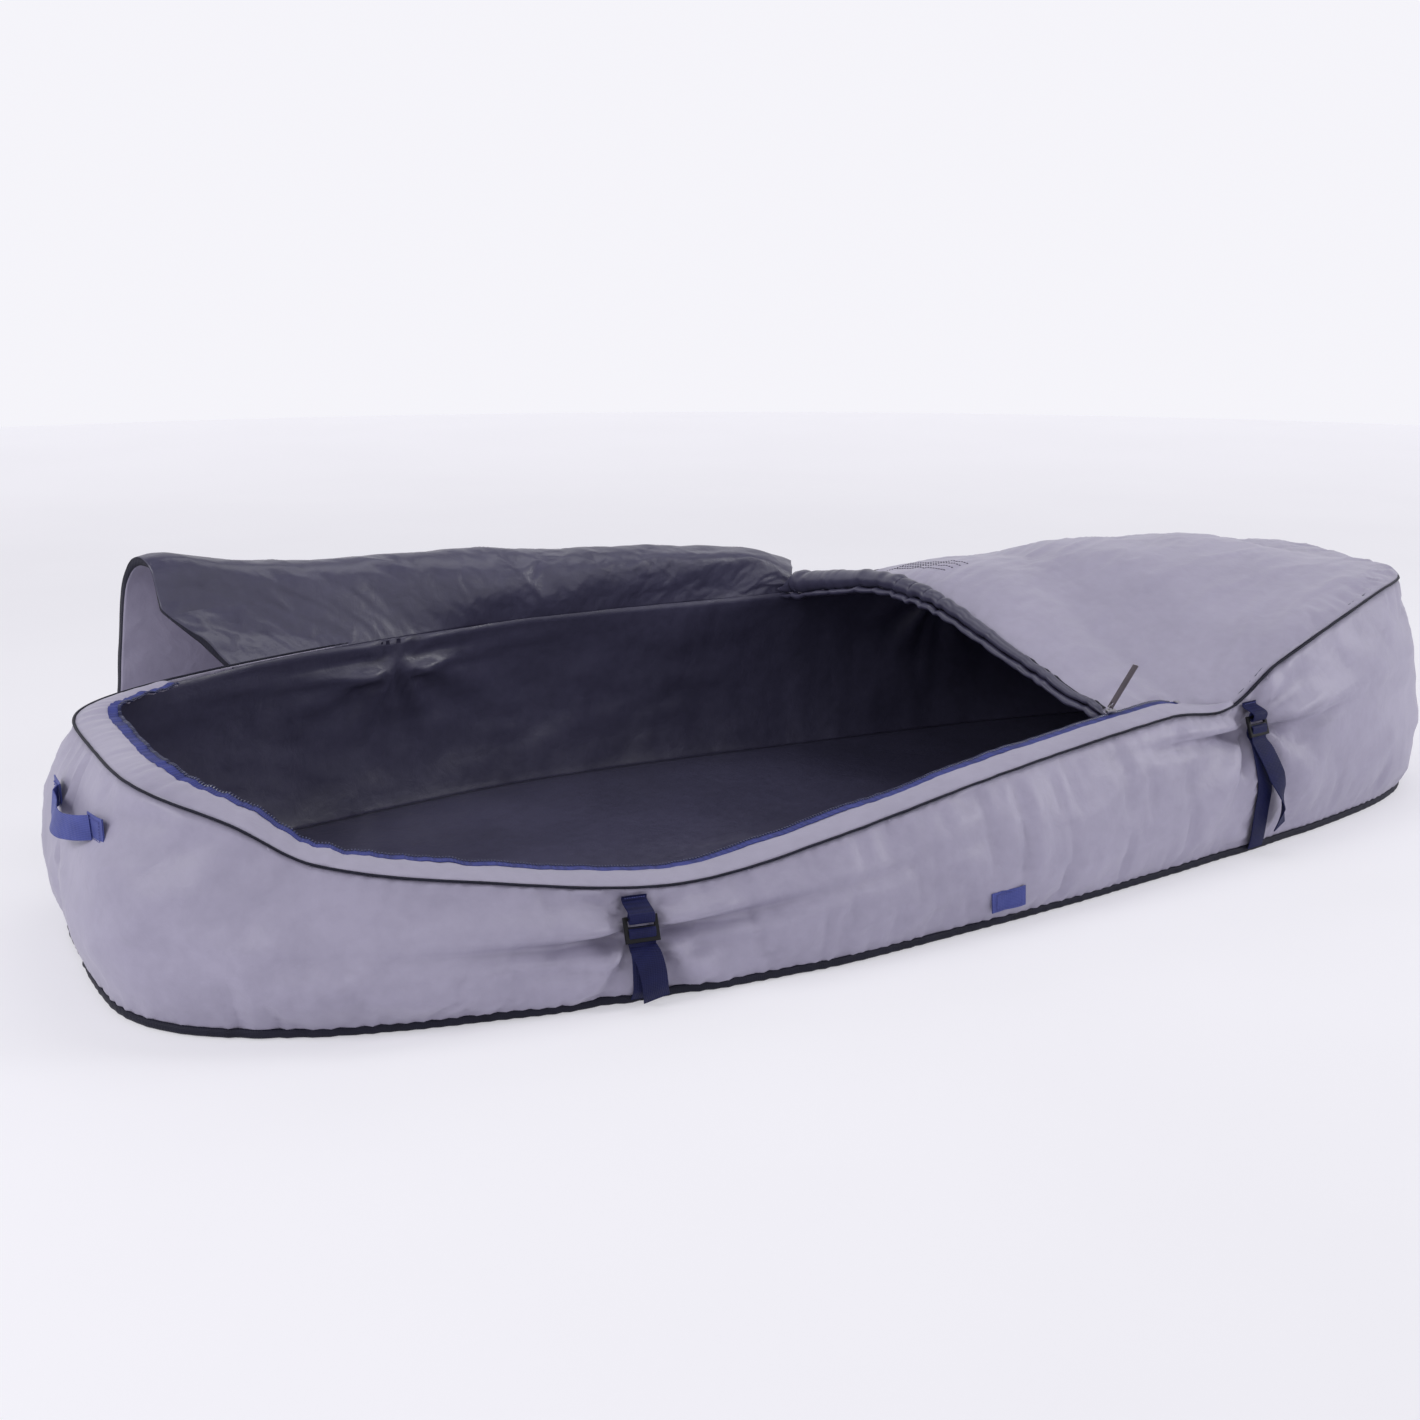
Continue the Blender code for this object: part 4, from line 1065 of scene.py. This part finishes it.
def stitch_rows(name, starts, ends, out, count, thread=THREAD, width=0.0009):
    """Rows of short stitches between pairs of points, standing just proud of the cloth."""
    verts, faces = [], []
    for start, end in zip(starts, ends):
        run = end - start
        step = run / count
        side = run.normalized().cross(out).normalized() * width / 2
        for k in range(count):
            a, b = start + step * (k + 0.18), start + step * (k + 0.82)
            first = len(verts)
            middle = (a + b) / 2
            for place, rise, half in ((a, -0.0004, 0.6), (middle, 0.0007, 1.0), (b, -0.0004, 0.6)):
                verts += [place - side * half - out * 0.0006, place - side * half + out * rise,
                          place + side * half + out * rise, place + side * half - out * 0.0006]
            faces += block_faces(first)
    dress(new_object(name, verts, faces, [thread], smooth=False), "shell", "webbing")


def make_strap(wall, label, side, x, tail_route):
    """One compression strap: anchor round the lock's top bar, lower webbing, and its free tail."""
    lock = middle_of(f"ladder_lock_{label}")
    low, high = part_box(f"ladder_lock_{label}")
    _, out = on_wall(wall, x, side, lock.z)
    along = Vector((-out.y, out.x, 0)) * (1 if side < 0 else -1)
    top = float(wall_top(x, side))
    top_z, low_z = high[2], low[2]

    def stand(z, gap):
        return on_wall(wall, x, side, z, gap)[0]

    def by_lock(z, gap):
        return Vector((lock.x, lock.y, z)) + out * gap

    anchor = [stand(top - 0.008, 0.0055), stand(top - 0.014, 0.0070), by_lock(top_z + 0.004, 0.0034),
              by_lock(top_z - 0.003, 0.0044), by_lock(top_z - 0.0080, 0.0016),
              by_lock(top_z - 0.003, -0.0046), by_lock(top_z + 0.005, -0.0034)]
    turns = [out, out, out, out, Vector((0, 0, -1)) + out * 0.2, -out, -out]
    webbing_strip(f"anchor_web_{label}", anchor, turns, f"strap_anchor_{label}", 0.034)
    wrap = low_z + 0.017
    under = [by_lock(wrap - 0.002, -0.0048), by_lock(wrap - 0.014, -0.0050), stand(low_z - 0.012, 0.0052),
             stand(low_z * 0.62, 0.0062), stand(low_z * 0.34, 0.0072), stand(0.022, 0.0088),
             stand(0.0085, 0.0090)]
    webbing_strip(f"lower_web_{label}", under, [out] * len(under), f"strap_lower_{label}")
    over = [by_lock(wrap + 0.001, -0.0040), by_lock(wrap, 0.0046), by_lock(wrap - 0.012, 0.0056),
            by_lock(wrap - 0.022, 0.0050)]
    facing = [-out * 0.3 + Vector((0, 0, 1)), out + Vector((0, 0, 0.6)), out, out]
    for shift, z_share, gap, turn in tail_route:
        over.append(stand(low_z * z_share, gap) + along * shift)
        facing.append(out * math.cos(turn) + along * math.sin(turn))
    webbing_strip(f"tail_web_{label}", over, facing, f"strap_tail_{label}")
    seam = [stand(z, 0.0085) for z in (top - 0.010, top - 0.015)]
    half = along * 0.014
    stitch_rows(f"anchor_stitches_{label}", [p - half for p in seam], [p + half for p in seam], out, 9)


def make_straps(wall):
    plain = ((0.002, 0.72, 0.010, 0.0), (0.004, 0.45, 0.011, 0.0), (0.008, 0.16, 0.012, 0.0))
    draped = ((0.003, 0.80, 0.012, 0.0), (0.007, 0.55, 0.014, 0.1), (0.010, 0.30, 0.014, 0.1),
              (0.014, 0.10, 0.017, 0.0))
    twisted = ((0.004, 0.88, 0.012, 0.0), (0.014, 0.70, 0.016, 0.35), (0.026, 0.52, 0.022, 0.85),
               (0.036, 0.36, 0.020, 0.45), (0.044, 0.20, 0.016, 0.15))
    for label, side, x, route in (("near_tail", -1, -STRAP_X, draped), ("near_nose", -1, STRAP_X, twisted),
                                  ("far_tail", 1, -STRAP_X, plain), ("far_nose", 1, STRAP_X, plain)):
        make_strap(wall, label, side, x, route)
        rounded_copy(f"ladder_lock_{label}", f"lock_{label}", 0.0011, PLASTIC, f"ladder_lock_{label}",
                     "buckle_plastic")


def make_tail_handle(wall):
    """Webbing loop between two sewn patches on the tail."""
    clear = 0.0045
    low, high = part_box("tail_handle_patch_near")
    z_mid = (low[2] + high[2]) / 2
    far_low, far_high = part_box("tail_handle_patch_far")
    loop_low, loop_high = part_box("tail_handle")

    def tail_point(y, z, gap):
        spots = np.flatnonzero(LOOP[:, 0] < -0.95)
        nearest = spots[int(np.argmin(np.abs(LOOP[spots, 1] - y)))] / PERIMETER_STEPS
        return on_wall(wall, 0, 0, z, gap, nearest)

    for label, y0, y1 in (("near", low[1], high[1]), ("far", far_low[1], far_high[1])):
        spots = [tail_point(y0 + (y1 - y0) * k / 6, z_mid, clear) for k in range(7)]
        path = [p for p, _ in spots]
        facing = [n for _, n in spots]
        webbing_strip(f"handle_patch_{label}", path, facing, f"tail_handle_patch_{label}", 0.036,
                      material=HANDLE_WEB)
        out = facing[3]
        up = Vector((0, 0, 0.013))
        rows = [path[1] + out * 0.0024, path[5] + out * 0.0024]
        stitch_rows(f"handle_stitches_{label}", [rows[0] - up, rows[1] - up, rows[0] - up, rows[0] + up],
                    [rows[0] + up, rows[1] + up, rows[1] - up, rows[1] + up], out, 7)
    loop = []
    facing = []
    start_y, end_y = loop_low[1] - 0.012, loop_high[1] + 0.012
    for k in range(13):
        share = k / 12
        y = start_y + (end_y - start_y) * share
        rise = math.sin(math.pi * share)
        here, out = tail_point(y, z_mid, 0.0065 + 0.026 * rise**0.8)
        loop.append(here + Vector((0, 0, -0.010 * rise)))
        facing.append(out + Vector((0, 0, 0.35 * rise)))
    webbing_strip("handle_loop", loop, facing, "tail_handle", 0.032, "tail_handle", HANDLE_WEB)


def make_side_tabs(wall):
    """Small sewn webbing tabs low on the two sides."""
    for label, side in (("near", -1), ("far", 1)):
        low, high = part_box(f"side_tab_{label}")
        mid_z = (low[2] + high[2]) / 2
        path, facing = [], []
        for k in range(6):
            x = low[0] + (high[0] - low[0]) * k / 5
            here, out = on_wall(wall, x, side, mid_z + 0.004 * (k / 5 - 0.5), 0.0036)
            path.append(here)
            facing.append(out)
        webbing_strip(f"tab_web_{label}", path, facing, f"side_tab_{label}", 0.030, material=HANDLE_WEB)
        out = facing[2]
        up = Vector((0, 0, 0.0115))
        left, right = path[0].lerp(path[5], 0.12) + out * 0.0021, path[0].lerp(path[5], 0.88) + out * 0.0021
        stitch_rows(f"tab_stitches_{label}", [left - up, left + up, left - up, right - up],
                    [right - up, right + up, left + up, right + up], out, 11)


# ---- zip slider and pull ----
def make_slider():
    rounded_copy("zip_slider", "slider_body", 0.0011, METAL, "zip_slider", "slider_metal")
    rounded_copy("zip_end_stop", "end_stop_clip", 0.0005, METAL, "shell", "slider_metal")
    pull = rounded_copy("zip_pull", "slider_pull", 0.0008, PULLER, "zip_pull", "puller")
    low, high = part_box("zip_pull")
    tip_from = low[2] + (high[2] - low[2]) * 0.62
    pull.data.materials.append(PULL_TIP)
    for face in pull.data.polygons:
        if face.center.z > tip_from:
            face.material_index = 1
    post_low, post_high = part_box("zip_slider")
    x, y = (post_low[0] + post_high[0]) / 2, (post_low[1] + post_high[1]) / 2
    arch = [(x - 0.0050, y, post_high[2] - 0.0008), (x - 0.0040, y, post_high[2] + 0.0030),
            (x + 0.0004, y, post_high[2] + 0.0062), (x + 0.0044, y, post_high[2] + 0.0030),
            (x + 0.0052, y, post_high[2] - 0.0008)]
    bridge = sweep("slider_bridge", smooth_path(arch, 24), oval(0.0022, 0.0014, 10), (0, 1, 0), METAL)
    dress(bridge, "zip_slider", "slider_metal")


def make_all():
    make_camera()
    make_studio()
    wall = make_side_wall()
    make_floor_pad()
    make_bands(wall)
    make_rim()
    make_deck()
    make_lid()
    make_straps(wall)
    make_tail_handle(wall)
    make_side_tabs(wall)
    make_slider()


make_all()
